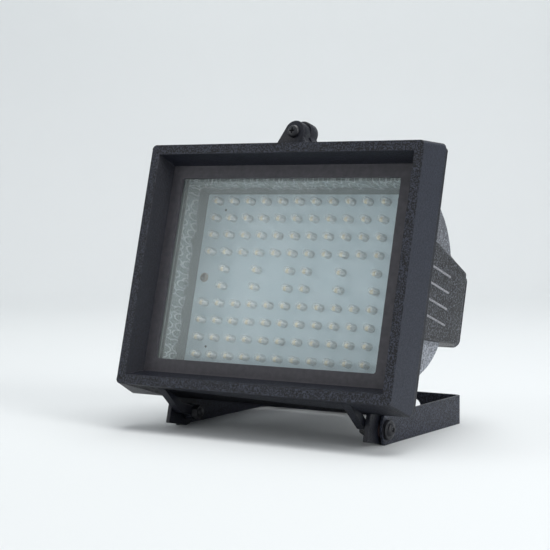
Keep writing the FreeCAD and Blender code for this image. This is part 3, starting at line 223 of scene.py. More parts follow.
# The photo's camera, as it was solved
SENSOR_WIDTH = 36
FOCAL_LENGTH = 104.8
CAMERA_PLACE = Vector((0.5393, -0.90884, 0.15092))
CAMERA_AIM = Vector((-0.0187, -0.07133, 0.08688))
CAMERA_ROLL = math.radians(-0.479)

# Grain sizes of the finishes, and the numbers of a colour mix's sockets
FINE_GRAIN = 2400
METAL_GRAIN = 900
SOFT_GRAIN = 400
SOFT_GRAIN_DEPTH = 0.00012
WAVE_GRAIN = 170
MIX_SHARE = 0
MIX_FIRST = 6
MIX_SECOND = 7
MIX_RESULT = 2


def linear(red, green, blue):
    """Screen colour, 0 to 255, as the shader's colour, by the sRGB curve."""
    def channel(value):
        share = value / 255
        return share / 12.92 if share <= 0.04045 else ((share + 0.055) / 1.055) ** 2.4
    return (channel(red), channel(green), channel(blue), 1.0)


# Materials
class Recipe:
    """A material with its node tree at hand."""

    def __init__(self, name, color, roughness, metallic=0.0):
        self.material = bpy.data.materials.new(name)
        self.material.use_nodes = True
        self.tree = self.material.node_tree
        self.shader = self.tree.nodes["Principled BSDF"]
        self.set("Base Color", color)
        self.set("Roughness", roughness)
        self.set("Metallic", metallic)
        self.place = self.add("ShaderNodeTexCoord").outputs["Object"]

    def add(self, kind, **settings):
        node = self.tree.nodes.new(kind)
        for key, value in settings.items():
            setattr(node, key, value)
        return node

    def set(self, socket, value):
        self.shader.inputs[socket].default_value = value

    def link(self, source, target):
        self.tree.links.new(source, target)

    def noise(self, scale, detail=3.0, roughness=0.5, place=None):
        node = self.add("ShaderNodeTexNoise")
        node.inputs["Scale"].default_value = scale
        node.inputs["Detail"].default_value = detail
        node.inputs["Roughness"].default_value = roughness
        self.link(place or self.place, node.inputs["Vector"])
        return node.outputs["Fac"]

    def flat_cells(self, scale, randomness, place):
        node = self.add("ShaderNodeTexVoronoi", feature="F1", voronoi_dimensions="2D")
        node.inputs["Scale"].default_value = scale
        node.inputs["Randomness"].default_value = randomness
        self.link(place, node.inputs["Vector"])
        return node.outputs["Distance"]

    def ramp(self, value, *stops):
        node = self.add("ShaderNodeValToRGB")
        elements = node.color_ramp.elements
        for index, (position, color) in enumerate(stops):
            element = elements[index] if index < len(elements) else elements.new(position)
            element.position = position
            element.color = color
        self.link(value, node.inputs["Fac"])
        return node.outputs["Color"]

    def spread(self, value, low, high, first=0.0, last=1.0, clamp=True):
        """Low where the value is first and high where it is last."""
        node = self.add("ShaderNodeMapRange", clamp=clamp)
        for socket, limit in (("From Min", first), ("From Max", last), ("To Min", low), ("To Max", high)):
            node.inputs[socket].default_value = limit
        self.link(value, node.inputs["Value"])
        return node.outputs["Result"]

    def math(self, operation, first, second):
        node = self.add("ShaderNodeMath", operation=operation)
        for index, value in enumerate((first, second)):
            if isinstance(value, (int, float)):
                node.inputs[index].default_value = value
            else:
                self.link(value, node.inputs[index])
        return node.outputs[0]

    def bump(self, height, distance, strength=1.0, below=None):
        node = self.add("ShaderNodeBump")
        node.inputs["Distance"].default_value = distance
        node.inputs["Strength"].default_value = strength
        self.link(height, node.inputs["Height"])
        if below is not None:
            self.link(below, node.inputs["Normal"])
        return node.outputs["Normal"]

    def axes(self, vector):
        node = self.add("ShaderNodeSeparateXYZ")
        self.link(vector, node.inputs[0])
        return node.outputs

    def drive(self, socket, source):
        """One of the shader's inputs follows a node's output."""
        self.link(source, self.shader.inputs[socket])


def powder_coat(name, dark, light, stops, grain, depth):
    """Near-black blue powder coat: its grain shows as darker and paler specks."""
    paint = Recipe(name, dark, roughness=0.4)
    paint.set("Specular IOR Level", 0.38)
    specks = paint.noise(grain, detail=2.5, roughness=0.6)
    paint.drive("Base Color", paint.ramp(specks, (stops[0], dark), (stops[1], light)))
    paint.drive("Roughness", paint.spread(specks, low=0.56, high=0.3))
    hammered = paint.bump(specks, depth, strength=0.8)
    fine = paint.noise(FINE_GRAIN, detail=2)
    paint.drive("Normal", paint.bump(fine, distance=0.00008, strength=0.5, below=hammered))
    return paint.material


def trough_paint():
    """The trough's ends: a paler coat, with painted floor bounce light that makes them paler towards the
    bottom.
    """
    paint = Recipe("trough_paint", linear(90, 92, 97), roughness=0.5)
    height = paint.axes(paint.place)["Z"]
    # Painted floor bounce light: paler towards the bottom
    floor_light = paint.spread(height, 0.0, TROUGH_FLOOR_LIGHT, first=TROUGH_DARK_ABOVE, last=TROUGH_PALE_BELOW)
    grains = paint.noise(1000, detail=2.5, roughness=0.6)
    tones = ((0.42, linear(78, 80, 86)), (0.58, linear(108, 111, 117)), (0.74, linear(168, 173, 183)))
    paint.drive("Base Color", paint.ramp(paint.math("ADD", grains, floor_light), *tones))
    paint.drive("Roughness", paint.spread(grains, low=0.6, high=0.42))
    paint.drive("Normal", paint.bump(grains, distance=0.0005, strength=0.7))
    return paint.material


def rib_highlight_paint():
    """The same coat, smoother and pale on the ribs' tops; the paleness is a painted highlight where light
    catches them.
    """
    paint = Recipe("rib_highlight_paint", linear(140, 141, 146), roughness=0.45)
    mottle = paint.noise(900, detail=3)
    tones = ((0.35, linear(112, 113, 118)), (0.65, linear(164, 165, 170)))
    paint.drive("Base Color", paint.ramp(mottle, *tones))
    paint.drive("Roughness", paint.spread(mottle, low=0.4, high=0.56))
    paint.drive("Normal", paint.bump(mottle, distance=0.0003, strength=0.7))
    return paint.material


def metal(name, color, roughness):
    """Plated or turned metal with faint tool marks."""
    finish = Recipe(name, color, roughness, metallic=1.0)
    polish = finish.noise(METAL_GRAIN, detail=5)
    finish.drive("Roughness", finish.spread(polish, low=roughness, high=roughness + 0.16))
    marks = finish.noise(FINE_GRAIN, detail=3)
    finish.drive("Normal", finish.bump(marks, distance=0.00006, strength=0.35))
    return finish.material


def lamp_vector(recipe):
    """Object coordinates turned to the leaning lamp's own frame."""
    mapping = recipe.add("ShaderNodeMapping", vector_type="POINT")
    rest = LAMP.inverted()
    mapping.inputs["Location"].default_value = rest.translation
    mapping.inputs["Rotation"].default_value = rest.to_euler("XYZ")
    recipe.link(recipe.place, mapping.inputs["Vector"])
    return mapping.outputs[0]


def depth_share(recipe, place, first, last):
    """0 at one depth behind the rim and 1 at another; it goes on beyond both."""
    return recipe.spread(recipe.axes(place)["Y"], 0.0, 1.0, first, last, clamp=False)


def wall_vector(recipe, place):
    """How deep and how far along the reflector's walls, so that dimples are round on every wall."""
    axes = recipe.axes(place)
    normal = recipe.axes(recipe.add("ShaderNodeTexCoord").outputs["Normal"])
    sideways = recipe.math("MULTIPLY", normal["X"], normal["X"])
    on_end = recipe.math("GREATER_THAN", sideways, END_WALL_FROM)
    up = recipe.math("MULTIPLY", axes["Z"], on_end)
    across = recipe.math("MULTIPLY", axes["X"], recipe.math("SUBTRACT", 1.0, on_end))
    flat = recipe.add("ShaderNodeCombineXYZ")
    recipe.link(recipe.math("MULTIPLY", axes["Y"], DIMPLE_SHORTENING), flat.inputs["X"])
    recipe.link(recipe.math("ADD", up, across), flat.inputs["Y"])
    return flat.outputs[0]


def hammered_aluminium():
    """Bright sheet with rows of round dimples, each ringed by a painted highlight, up to a wavy line, and
    a plain band beside the board.
    """
    sheet = Recipe("hammered_aluminium", linear(176, 184, 182), roughness=0.3, metallic=0.35)
    place = lamp_vector(sheet)
    dimples = sheet.flat_cells(DIMPLES_PER_METRE, DIMPLE_RANDOMNESS, wall_vector(sheet, place))
    first = REFLECTOR_SMOOTH_DEPTH - BLEND_DEPTH
    last = REFLECTOR_SMOOTH_DEPTH + BLEND_DEPTH
    depth = depth_share(sheet, place, first, last)
    ripple = sheet.math("SUBTRACT", sheet.noise(WAVE_GRAIN, detail=1, place=place), 0.5)
    wave = sheet.math("MULTIPLY", ripple, WAVE_HEIGHT)
    plain = sheet.spread(sheet.math("ADD", depth, wave), 0.0, 1.0)
    # Each dimple: painted shade just inside its rim and a painted highlight on the rim
    rings = sheet.ramp(
        dimples,
        (0.2, linear(138, 148, 149)), (0.34, linear(118, 127, 128)),
        (0.43, linear(212, 222, 221)), (0.52, linear(142, 152, 153)))
    tone = sheet.add("ShaderNodeMix", data_type="RGBA")
    sheet.link(plain, tone.inputs[MIX_SHARE])
    sheet.link(rings, tone.inputs[MIX_FIRST])
    tone.inputs[MIX_SECOND].default_value = linear(98, 105, 106)
    sheet.drive("Base Color", tone.outputs[MIX_RESULT])
    sheet.drive("Roughness", sheet.spread(plain, low=0.26, high=0.46))
    bowl = sheet.math("MULTIPLY", dimples, dimples)
    height = sheet.math("MULTIPLY", bowl, sheet.math("SUBTRACT", 1.0, plain))
    sheet.drive("Normal", sheet.bump(height, distance=0.0008, strength=0.8))
    return sheet.material


def board_white():
    """Pale blue-grey solder mask."""
    mask = Recipe("board_white", linear(196, 214, 220), roughness=0.5)
    tones = ((0.3, linear(200, 221, 229)), (0.7, linear(214, 232, 239)))
    mask.drive("Base Color", mask.ramp(mask.noise(60, detail=2), *tones))
    mask.drive("Roughness", mask.spread(mask.noise(500), low=0.42, high=0.56))
    mask.drive("Normal", mask.bump(mask.noise(900), distance=0.00005, strength=0.3))
    return mask.material


def clear_lens():
    """Clear epoxy: what it holds shows through, and its sides turn grey where they curve away."""
    resin = Recipe("clear_lens", linear(228, 230, 228), roughness=0.06)
    resin.set("IOR", 1.5)
    edge = resin.add("ShaderNodeLayerWeight")
    edge.inputs["Blend"].default_value = 0.35
    facing = edge.outputs["Facing"]
    resin.drive("Alpha", resin.spread(facing, low=0.1, high=0.4))
    tones = ((0.4, linear(250, 252, 250)), (0.95, linear(222, 230, 233)))
    resin.drive("Base Color", resin.ramp(facing, *tones))
    resin.drive("Roughness", resin.spread(resin.noise(900), low=0.04, high=0.09))
    return resin.material


def window_glass():
    """Clear pane: mostly see-through, with a faint green tint and a soft reflection."""
    pane = Recipe("window_glass", linear(226, 236, 234), roughness=0.03)
    pane.set("IOR", 1.5)
    pane.set("Alpha", 0.12)
    pane.drive("Roughness", pane.spread(pane.noise(40, detail=2), low=0.02, high=0.06))
    return pane.material


def soft(name, dark, light, roughness, scale=SOFT_GRAIN, depth=SOFT_GRAIN_DEPTH):
    """Rubber, nylon or board: a matt surface with a fine cast grain."""
    grain = Recipe(name, dark, roughness)
    grain.drive("Base Color", grain.ramp(grain.noise(scale), (0.3, dark), (0.7, light)))
    sheen = grain.noise(scale * 0.6)
    grain.drive("Roughness", grain.spread(sheen, low=roughness - 0.06, high=roughness + 0.08))
    grain.drive("Normal", grain.bump(grain.noise(scale * 3), depth, strength=0.4))
    return grain.material


# Finishes: dark and light tone, a coat's ramp stops or a roughness, grains per metre and their depth
PAINT = powder_coat("frame_paint", linear(17, 19, 27), linear(28, 31, 42), (0.4, 0.62), 1000, 0.0003)
# The frame's sides: its coat made paler, painted light reflected from the bright surroundings
LIT_SIDE_PAINT = powder_coat("lit_side_paint", linear(40, 43, 52), linear(50, 54, 65), (0.4, 0.62), 1000, 0.0002)
RIM = powder_coat("rim_paint", linear(6, 7, 12), linear(56, 60, 73), (0.46, 0.6), 1100, 0.0007)
CAST = powder_coat("housing_paint", linear(5, 6, 9), linear(92, 95, 105), (0.51, 0.62), 900, 0.0008)
STRAP = powder_coat("bracket_paint", linear(12, 14, 22), linear(60, 64, 80), (0.43, 0.6), 1300, 0.0005)
TROUGH = trough_paint()
SCREW = metal("screw_steel", linear(172, 166, 156), 0.24)
DARK_SCREW = soft("dark_screw", linear(26, 27, 31), linear(42, 43, 49), 0.38, 900, 0.0001)
CLIP = metal("clip_steel", linear(160, 160, 160), 0.34)
REFLECTOR = hammered_aluminium()
BOARD = board_white()
RESIN = clear_lens()
SEAL = soft("window_seal", linear(62, 61, 66), linear(74, 72, 77), 0.6, 300)
RUBBER = soft("seal_rubber", linear(30, 30, 32), linear(44, 44, 46), 0.6)
NYLON = soft("gland_plastic", linear(28, 28, 31), linear(42, 42, 46), 0.45)
FIBRE = soft("fibre", linear(38, 24, 23), linear(48, 30, 28), 0.7, 700)
# The ribs' pale coat: a painted highlight
RIB_HIGHLIGHT_PAINT = rib_highlight_paint()
GREEN = soft("board_green", linear(24, 88, 50), linear(34, 104, 60), 0.35)
WRAP = soft("cell_wrap", linear(38, 84, 150), linear(48, 98, 166), 0.3)
TERMINAL = soft("terminal_plastic", linear(26, 110, 78), linear(36, 124, 90), 0.35)
GLASS = window_glass()
CUP_FINISH = soft("cup_silver", linear(240, 243, 242), linear(252, 254, 253), 0.3, 900, 0.00003)
DROP_FINISH = soft("phosphor", linear(244, 232, 194), linear(253, 246, 220), 0.5, 900, 0.00003)
# The second leg: the real lead post, near-white and stretched as a painted highlight of the lens
LEG_HIGHLIGHT_FINISH = soft("leg_highlight_white", linear(246, 250, 250), linear(253, 255, 255), 0.25, 900, 0.00002)

# What each CAD node wears
FINISHES = {
    "tilt_bracket": STRAP,
    "pivot_screws": DARK_SCREW,
    "pivot_washers": DARK_SCREW,
    "friction_washers": FIBRE,
    "pivot_nuts": DARK_SCREW,
    "housing_shell": CAST,
    "reflector": REFLECTOR,
    "led_board": BOARD,
    "board_screws": SCREW,
    "rear_cover": CAST,
    "rear_cover_seal": RUBBER,
    "rear_cover_screws": SCREW,
    "battery_cells": WRAP,
    "control_board": GREEN,
    "control_screws": SCREW,
    "terminal_block": TERMINAL,
    "gland_body": NYLON,
    "gland_cap": NYLON,
    "gland_seal": RUBBER,
    "gland_locknut": NYLON,
    "front_frame": PAINT,
    "glass_pane": GLASS,
    "glass_gasket": SEAL,
    "glass_clips": CLIP,
    "clip_screws": SCREW,
    "closing_screw": DARK_SCREW,
}


# Meshes and pieces
def finish_cad_nodes():
    for name, material in FINISHES.items():
        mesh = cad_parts[name].data
        mesh.materials.clear()
        mesh.materials.append(material)


def in_scene(name, data):
    """A new object with this data, in the scene."""
    item = bpy.data.objects.new(name, data)
    bpy.context.scene.collection.objects.link(item)
    return item


def new_piece(name, mesh, material=None):
    if material is not None:
        mesh.materials.clear()
        mesh.materials.append(material)
    return in_scene(name, mesh)


def worked_mesh(name, work):
    """The worked mesh as a mesh of its own."""
    mesh = bpy.data.meshes.new(name)
    work.to_mesh(mesh)
    work.free()
    return mesh


def smooth(mesh):
    for polygon in mesh.polygons:
        polygon.use_smooth = True


def faced_outwards(name, points, faces):
    """A closed mesh from points and faces, every face turned outwards."""
    mesh = bpy.data.meshes.new(name)
    mesh.from_pydata(points, [], faces)
    work = bmesh.new()
    work.from_mesh(mesh)
    bmesh.ops.recalc_face_normals(work, faces=work.faces)
    work.to_mesh(mesh)
    work.free()
    return mesh


def modified_mesh(item):
    """What an object's modifiers make of its mesh."""
    bpy.context.view_layer.update()
    return bpy.data.meshes.new_from_object(item.evaluated_get(bpy.context.evaluated_depsgraph_get()))


def turned(name, profile, segments):
    """A mesh turned about Z from (radius, height) points, its ends closed by points on the axis."""
    points = []
    faces = []
    rings = []
    for radius, height in profile:
        if radius == 0:
            rings.append([len(points)])
            points.append((0, 0, height))
            continue
        ring = []
        for step in range(segments):
            angle = 2 * math.pi * step / segments
            ring.append(len(points))
            points.append((radius * math.cos(angle), radius * math.sin(angle), height))
        rings.append(ring)
    for lower, upper in zip(rings, rings[1:]):
        for step in range(segments):
            following = (step + 1) % segments
            if len(lower) == 1:
                faces.append((lower[0], upper[following], upper[step]))
            elif len(upper) == 1:
                faces.append((lower[step], lower[following], upper[0]))
            else:
                faces.append((lower[step], lower[following], upper[following], upper[step]))
    mesh = faced_outwards(name, points, faces)
    smooth(mesh)
    return mesh


def lens_profile():
    """A flange, a straight barrel and a round dome, from the board outwards."""
    dome = LENS_HEIGHT - BARREL_RADIUS
    profile = [*LENS_FLANGE, (BARREL_RADIUS, BARREL_START), (BARREL_RADIUS, dome)]
    for step in range(1, DOME_STEPS):
        angle = math.pi / 2 * step / DOME_STEPS
        profile.append((BARREL_RADIUS * math.cos(angle), dome + BARREL_RADIUS * math.sin(angle)))
    profile.append((0, LENS_HEIGHT))
    return profile


def lamp_points():
    """Board positions of the lamps: the two middle rows are sparse."""
    middle = (ROWS // 2, ROWS // 2 + 1)
    places = []
    for row in range(1, ROWS + 1):
        for column in range(1, COLUMNS + 1):
            if row in middle and column not in SPARSE_COLUMNS:
                continue
            across = (column - (COLUMNS + 1) / 2) * PITCH_ACROSS
            up = ((ROWS + 1) / 2 - row) * PITCH_UP
            places.append((across, up))
    return places


def scattered(name, prototype, places, material, body):
    """The prototype, turned to face out of the lamp, at each place, made by an instancing tree."""
    cloud = bpy.data.meshes.new(f"{name}_points")
    cloud.from_pydata([tuple(place) for place in places], [], [])
    holder = in_scene(name, cloud)
    source = in_scene(f"{name}_prototype", prototype)
    tree = bpy.data.node_groups.new(f"{name}_layout", "GeometryNodeTree")
    for socket, kind in (("Geometry", "Geometry"), ("Piece", "Object"), ("Finish", "Material")):
        tree.interface.new_socket(socket, in_out="INPUT", socket_type=f"NodeSocket{kind}")
    tree.interface.new_socket("Geometry", in_out="OUTPUT", socket_type="NodeSocketGeometry")
    start = tree.nodes.new("NodeGroupInput")
    end = tree.nodes.new("NodeGroupOutput")
    info = tree.nodes.new("GeometryNodeObjectInfo")
    place = tree.nodes.new("GeometryNodeInstanceOnPoints")
    real = tree.nodes.new("GeometryNodeRealizeInstances")
    paint = tree.nodes.new("GeometryNodeSetMaterial")
    tree.links.new(start.outputs["Piece"], info.inputs["Object"])
    tree.links.new(start.outputs["Geometry"], place.inputs["Points"])
    tree.links.new(info.outputs["Geometry"], place.inputs["Instance"])
    tree.links.new(place.outputs["Instances"], real.inputs["Geometry"])
    tree.links.new(real.outputs["Geometry"], paint.inputs["Geometry"])
    tree.links.new(start.outputs["Finish"], paint.inputs["Material"])
    tree.links.new(paint.outputs["Geometry"], end.inputs["Geometry"])
    modifier = holder.modifiers.new("layout", "NODES")
    modifier.node_group = tree
    sockets = {item.name: item.identifier for item in tree.interface.items_tree if item.in_out == "INPUT"}
    modifier[sockets["Piece"]] = source
    modifier[sockets["Finish"]] = material
    mesh = modified_mesh(holder)
    mesh.name = name
    bpy.data.objects.remove(holder)
    bpy.data.objects.remove(source)
    piece = in_scene(name, mesh)
    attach(piece, body)
    return piece


# Prototypes point along +Z; this turns them to stand out of the board towards the window
OUTWARDS = Matrix.Rotation(math.radians(90), 4, "X")


def lamp_part(name, profile, segments, place=(0, 0, 0), shape=Matrix()):
    """A turned mesh set in its lamp, then turned to stand out of the leaning board."""
    mesh = turned(name, profile, segments)
    mesh.transform(Matrix.Translation(place) @ shape)
    mesh.transform(LAMP.to_3x3().to_4x4() @ OUTWARDS)
    return mesh


def board_places():
    return [LAMP @ Vector((across, BOARD_DEPTH, up)) for across, up in lamp_points()]


def clear_lamps():
    """Round-nosed clear lenses, each with a bright cup, its second leg and a cream phosphor drop; the leg
    is the real lead post, stretched and near-white as a painted highlight of the lens.
    """
    lens = lamp_part("lens", lens_profile(), LENS_SEGMENTS)
    lenses = scattered("lamp_lenses", lens, board_places(), RESIN, "housing")
    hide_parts("led_lamps")
    cup = lamp_part("cup", CUP_PROFILE, CUP_SEGMENTS, CUP_PLACE)
    cups = scattered("lamp_cups", cup, board_places(), CUP_FINISH, "housing")
    drop = lamp_part("drop", DROP_PROFILE, DROP_SEGMENTS, DROP_PLACE)
    drops = scattered("lamp_phosphor", drop, board_places(), DROP_FINISH, "housing")
    stretched = Matrix.Scale(LEG_STRETCH, 4, LEG_LONG_AXIS)
    leg = lamp_part("leg", LEG_PROFILE, LEG_SEGMENTS, LEG_PLACE, stretched)
    legs = scattered("lamp_legs", leg, board_places(), LEG_HIGHLIGHT_FINISH, "housing")


# Cast and bent pieces with their edges rounded
def rounded_mesh(name, work, edges, offset, steps):
    """The worked mesh with these edges rounded, smooth but for its sharp edges."""
    bmesh.ops.bevel(
        work, geom=edges, offset=offset, offset_type="OFFSET", segments=steps, profile=ROUND_PROFILE,
        affect="EDGES")
    mesh = worked_mesh(name, work)
    smooth(mesh)
    mesh.set_sharp_from_angle(angle=SHARP)
    return mesh


def closing_lug_plate():
    """The front closing lug's cast plate, whose foot reaches further to the left along the rim."""
    work = bmesh.new()
    for depth in (LUG_PLATE_FRONT, LUG_PLATE_BACK):
        for step in range(LUG_PLATE_STEPS):
            angle = 2 * math.pi * step / LUG_PLATE_STEPS
            across = LUG_PLATE_RADIUS * math.cos(angle)
            up = CLOSING_UP + LUG_PLATE_RADIUS * math.sin(angle)
            work.verts.new(LAMP @ Vector((across, depth, max(up, LUG_PLATE_FOOT_UP))))
        for across in LUG_PLATE_FOOT:
            work.verts.new(LAMP @ Vector((across, depth, LUG_PLATE_FOOT_UP)))
    bmesh.ops.remove_doubles(work, verts=work.verts, dist=SAME_POINT)
    hull = bmesh.ops.convex_hull(work, input=work.verts)
    inside = [item for item in hull["geom_interior"] if isinstance(item, bmesh.types.BMVert)]
    bmesh.ops.delete(work, geom=inside, context="VERTS")
    bmesh.ops.dissolve_limit(work, angle_limit=PLATE_FLAT, verts=work.verts, edges=work.edges)
    bmesh.ops.recalc_face_normals(work, faces=work.faces)
    rims = [line for line in work.edges if line.calc_face_angle(0) > PLATE_RIM]
    mesh = rounded_mesh("closing_lug_plate", work, rims, CAST_EDGE, EDGE_STEPS)
    piece = new_piece("closing_lug_plate", mesh, PAINT)
    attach(piece, "front_frame")


def softened(name, edge, material, body, coats=()):
    """A CAD solid's copy whose long sharp edges are rounded, in place of the solid."""
    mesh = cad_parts[name].data.copy()
    work = bmesh.new()
    work.from_mesh(mesh)
    bmesh.ops.remove_doubles(work, verts=work.verts, dist=SAME_POINT)
    bmesh.ops.dissolve_limit(work, angle_limit=CAD_FLAT, verts=work.verts, edges=work.edges)
    weight = work.edges.layers.float.new("bevel_weight_edge")
    for line in work.edges:
        if line.calc_length() > SHORTEST_EDGE and line.calc_face_angle(0) > SHARP:
            line[weight] = 1.0
    work.to_mesh(mesh)
    work.free()
    piece = new_piece(f"{name}_rounded", mesh, material)
    rounding = piece.modifiers.new("edge", "BEVEL")
    rounding.width = edge
    rounding.segments = EDGE_STEPS
    rounding.limit_method = "WEIGHT"
    rounding.use_clamp_overlap = False
    rounding.harden_normals = True
    result = modified_mesh(piece)
    bpy.data.objects.remove(piece)
    finished = new_piece(f"{name}_rounded", result, material)
    for index, (coat, belongs) in enumerate(coats):
        result.materials.append(coat)
        for polygon in result.polygons:
            if belongs(polygon):
                polygon.material_index = index + 1
    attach(finished, body)
    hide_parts(name)


def on_rim(polygon):
    """The front frame's faces that look forwards are speckled, its sides smooth."""
    return (LAMP.inverted().to_3x3() @ polygon.normal).y < FORWARDS


def on_side(polygon):
    """The outer sides of the front frame, which face left or right; their paler coat is painted light
    reflected from the bright surroundings.
    """
    return abs(polygon.normal.x) > SIDEWAYS and abs(polygon.center.x) > FRAME_SIDE_FROM


def on_flange_or_lug(polygon):
    """The housing's flange and lugs carry the front frame's coat."""
    place = LAMP.inverted() @ polygon.center
    return place.y < FLANGE_BACK or abs(place.z) > LUG_ROOT_UP


def on_trough_end(polygon):
    """The walls behind the flange that face left or right, far from the middle."""
    place = LAMP.inverted() @ polygon.center
    behind_flange = place.y > FLANGE_BACK
    return behind_flange and abs(polygon.normal.x) > SIDEWAYS and abs(place.x) > TROUGH_END_FROM


def box_cheeks():
    """Side walls of the rear box: they stand outside the trough's ends and carry the ribs."""
    work = bmesh.new()
    for side in (-1, 1):
        rows = []
        for depth, inner, outer, top, bottom in CHEEK_ROWS:
            inner_top = box_half_height(depth)
            corners = ((inner, inner_top), (outer, top), (outer, bottom), (inner, -inner_top))
            rows.append([
                work.verts.new(LAMP @ Vector((side * across, depth, up))) for across, up in corners])
        for first, second in zip(rows, rows[1:]):
            for step in range(len(first)):
                following = (step + 1) % len(first)
                work.faces.new((first[step], first[following], second[following], second[step]))
        work.faces.new(rows[0])
        work.faces.new(rows[-1][::-1])
    bmesh.ops.recalc_face_normals(work, faces=work.faces)
    bevelled = [line for line in work.edges if cheek_edge(line)]
    mesh = rounded_mesh("box_cheeks", work, bevelled, CHEEK_EDGE, CHEEK_EDGE_STEPS)
    piece = new_piece("box_cheeks", mesh, CAST)
    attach(piece, "housing")


def cheek_edge(line):
    """The cheeks' outer edges: both ends lie on the outer wall, and not at the flange."""
    rest = LAMP.inverted()
    places = [rest @ point.co for point in line.verts]
    outer = all(abs(place.x) > cheek_half(place.y) - OUTER_WALL_SLACK for place in places)
    at_flange = all(place.y < CHEEK_ROWS[0][0] + FLANGE_SLACK for place in places)
    return outer and not at_flange


def cheek_half(depth):
    """How far from the middle the cheeks' outer wall is at a depth behind the rim."""
    for first, second in zip(CHEEK_ROWS, CHEEK_ROWS[1:]):
        if depth <= second[0]:
            share = (depth - first[0]) / (second[0] - first[0])
            return first[2] + (second[2] - first[2]) * share
    return CHEEK_ROWS[-1][2]


def box_half_height(depth):
    """Half the height of the CAD box at a depth behind the rim."""
    share = (depth - BOX_FRONT) / (BOX_BACK - BOX_FRONT)
    return BOX_HALF_HEIGHT_FRONT - (BOX_HALF_HEIGHT_FRONT - BOX_HALF_HEIGHT_BACK) * share


# Screws with a cross recess
def cross_recess(size, depth):
    """A closed cross that tapers as it goes down; its middle height is 0."""
    arm = size
    half = size * CROSS_WIDTH
    corners = [
        (arm, half), (half, half), (half, arm), (-half, arm), (-half, half), (-arm, half),
        (-arm, -half), (-half, -half), (-half, -arm), (half, -arm), (half, -half), (arm, -half),
    ]
    count = len(corners)
    points = [(x, y, depth) for x, y in corners]
    points += [(x * CROSS_TAPER, y * CROSS_TAPER, -depth) for x, y in corners]
    faces = [tuple(range(count)), tuple(range(2 * count - 1, count - 1, -1))]
    for step in range(count):
        following = (step + 1) % count
        faces.append((following, step, count + step, count + following))
    return faced_outwards("recess", points, faces)


def pan_screw(name, head, shank, washer=None):
    """A screw along Z: the shank runs down from 0 and the domed head, or its washer face, stands on it."""
    radius, height = head
    shank_radius, shank_length = shank
    profile = [(0, -shank_length), (shank_radius, -shank_length), (shank_radius, 0)]
    if washer is not None:
        wide, thick = washer
        profile += [(wide * across, thick * up) for across, up in WASHER_SIDE]
        profile += [(radius * FILLET_RADIUS, thick), (radius, thick * FILLET_DIP)]
        profile.append((radius, height * SIDE_ON_WASHER))
    else:
        profile += [(radius * across, height * up) for across, up in HEAD_SIDE]
    rim = profile[-1][1]
    for step in range(1, DOME_STEPS):
        angle = math.pi / 2 * step / DOME_STEPS
        across = radius * math.cos(angle) ** DOME_FULLNESS
        profile.append((across, rim + (height - rim) * math.sin(angle)))
    profile.append((0, height))
    solid = new_piece(name, turned(name, profile, HEAD_SEGMENTS))
    recess = new_piece(f"{name}_recess", cross_recess(radius * RECESS_SHARE, height * RECESS_SHARE))
    recess.location = (0, 0, height)
    cutter = solid.modifiers.new("recess", "BOOLEAN")
    cutter.operation = "DIFFERENCE"
    cutter.solver = "EXACT"
    cutter.object = recess
    mesh = modified_mesh(solid)
    bpy.data.objects.remove(solid)
    bpy.data.objects.remove(recess)
    return mesh


def screws(name, head, shank, places, material, body, washer=None):
    """One mesh with a screw at each place, in place of the plain CAD screws."""
    pattern = pan_screw(f"{name}_pattern", head, shank, washer)
    work = bmesh.new()
    for place in places:
        screw = pattern.copy()
        screw.transform(place)
        work.from_mesh(screw)
        bpy.data.meshes.remove(screw)
    bmesh.ops.recalc_face_normals(work, faces=work.faces)
    piece = new_piece(f"{name}_domed", worked_mesh(f"{name}_domed", work), material)
    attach(piece, body)
    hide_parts(name)


def all_screws():
    pivots = [
        Matrix.Translation(PIVOT + Vector((side * PIVOT_HEAD_FACE, 0, 0)))
        @ Matrix.Rotation(side * math.radians(90), 4, "Y")
        @ Matrix.Rotation(PIVOT_RECESS_TURN, 4, "Z")
        for side in (-1, 1)
    ]
    screws(
        "pivot_screws", PIVOT_HEAD, PIVOT_SHANK, pivots, DARK_SCREW, "bracket",
        PIVOT_WASHER_FACE)
    closing = LAMP @ Matrix.Translation((0, CLOSING_FACE_DEPTH, CLOSING_UP)) @ OUTWARDS
    screws(
        "closing_screw", CLOSING_HEAD, CLOSING_SHANK, [closing], DARK_SCREW, "front_frame")
    board = [
        LAMP @ Matrix.Translation((side * BOARD_SCREW_ACROSS, BOARD_DEPTH, 0)) @ OUTWARDS
        for side in (-1, 1)
    ]
    screws("board_screws", BOARD_HEAD, BOARD_SHANK, board, SCREW, "housing")


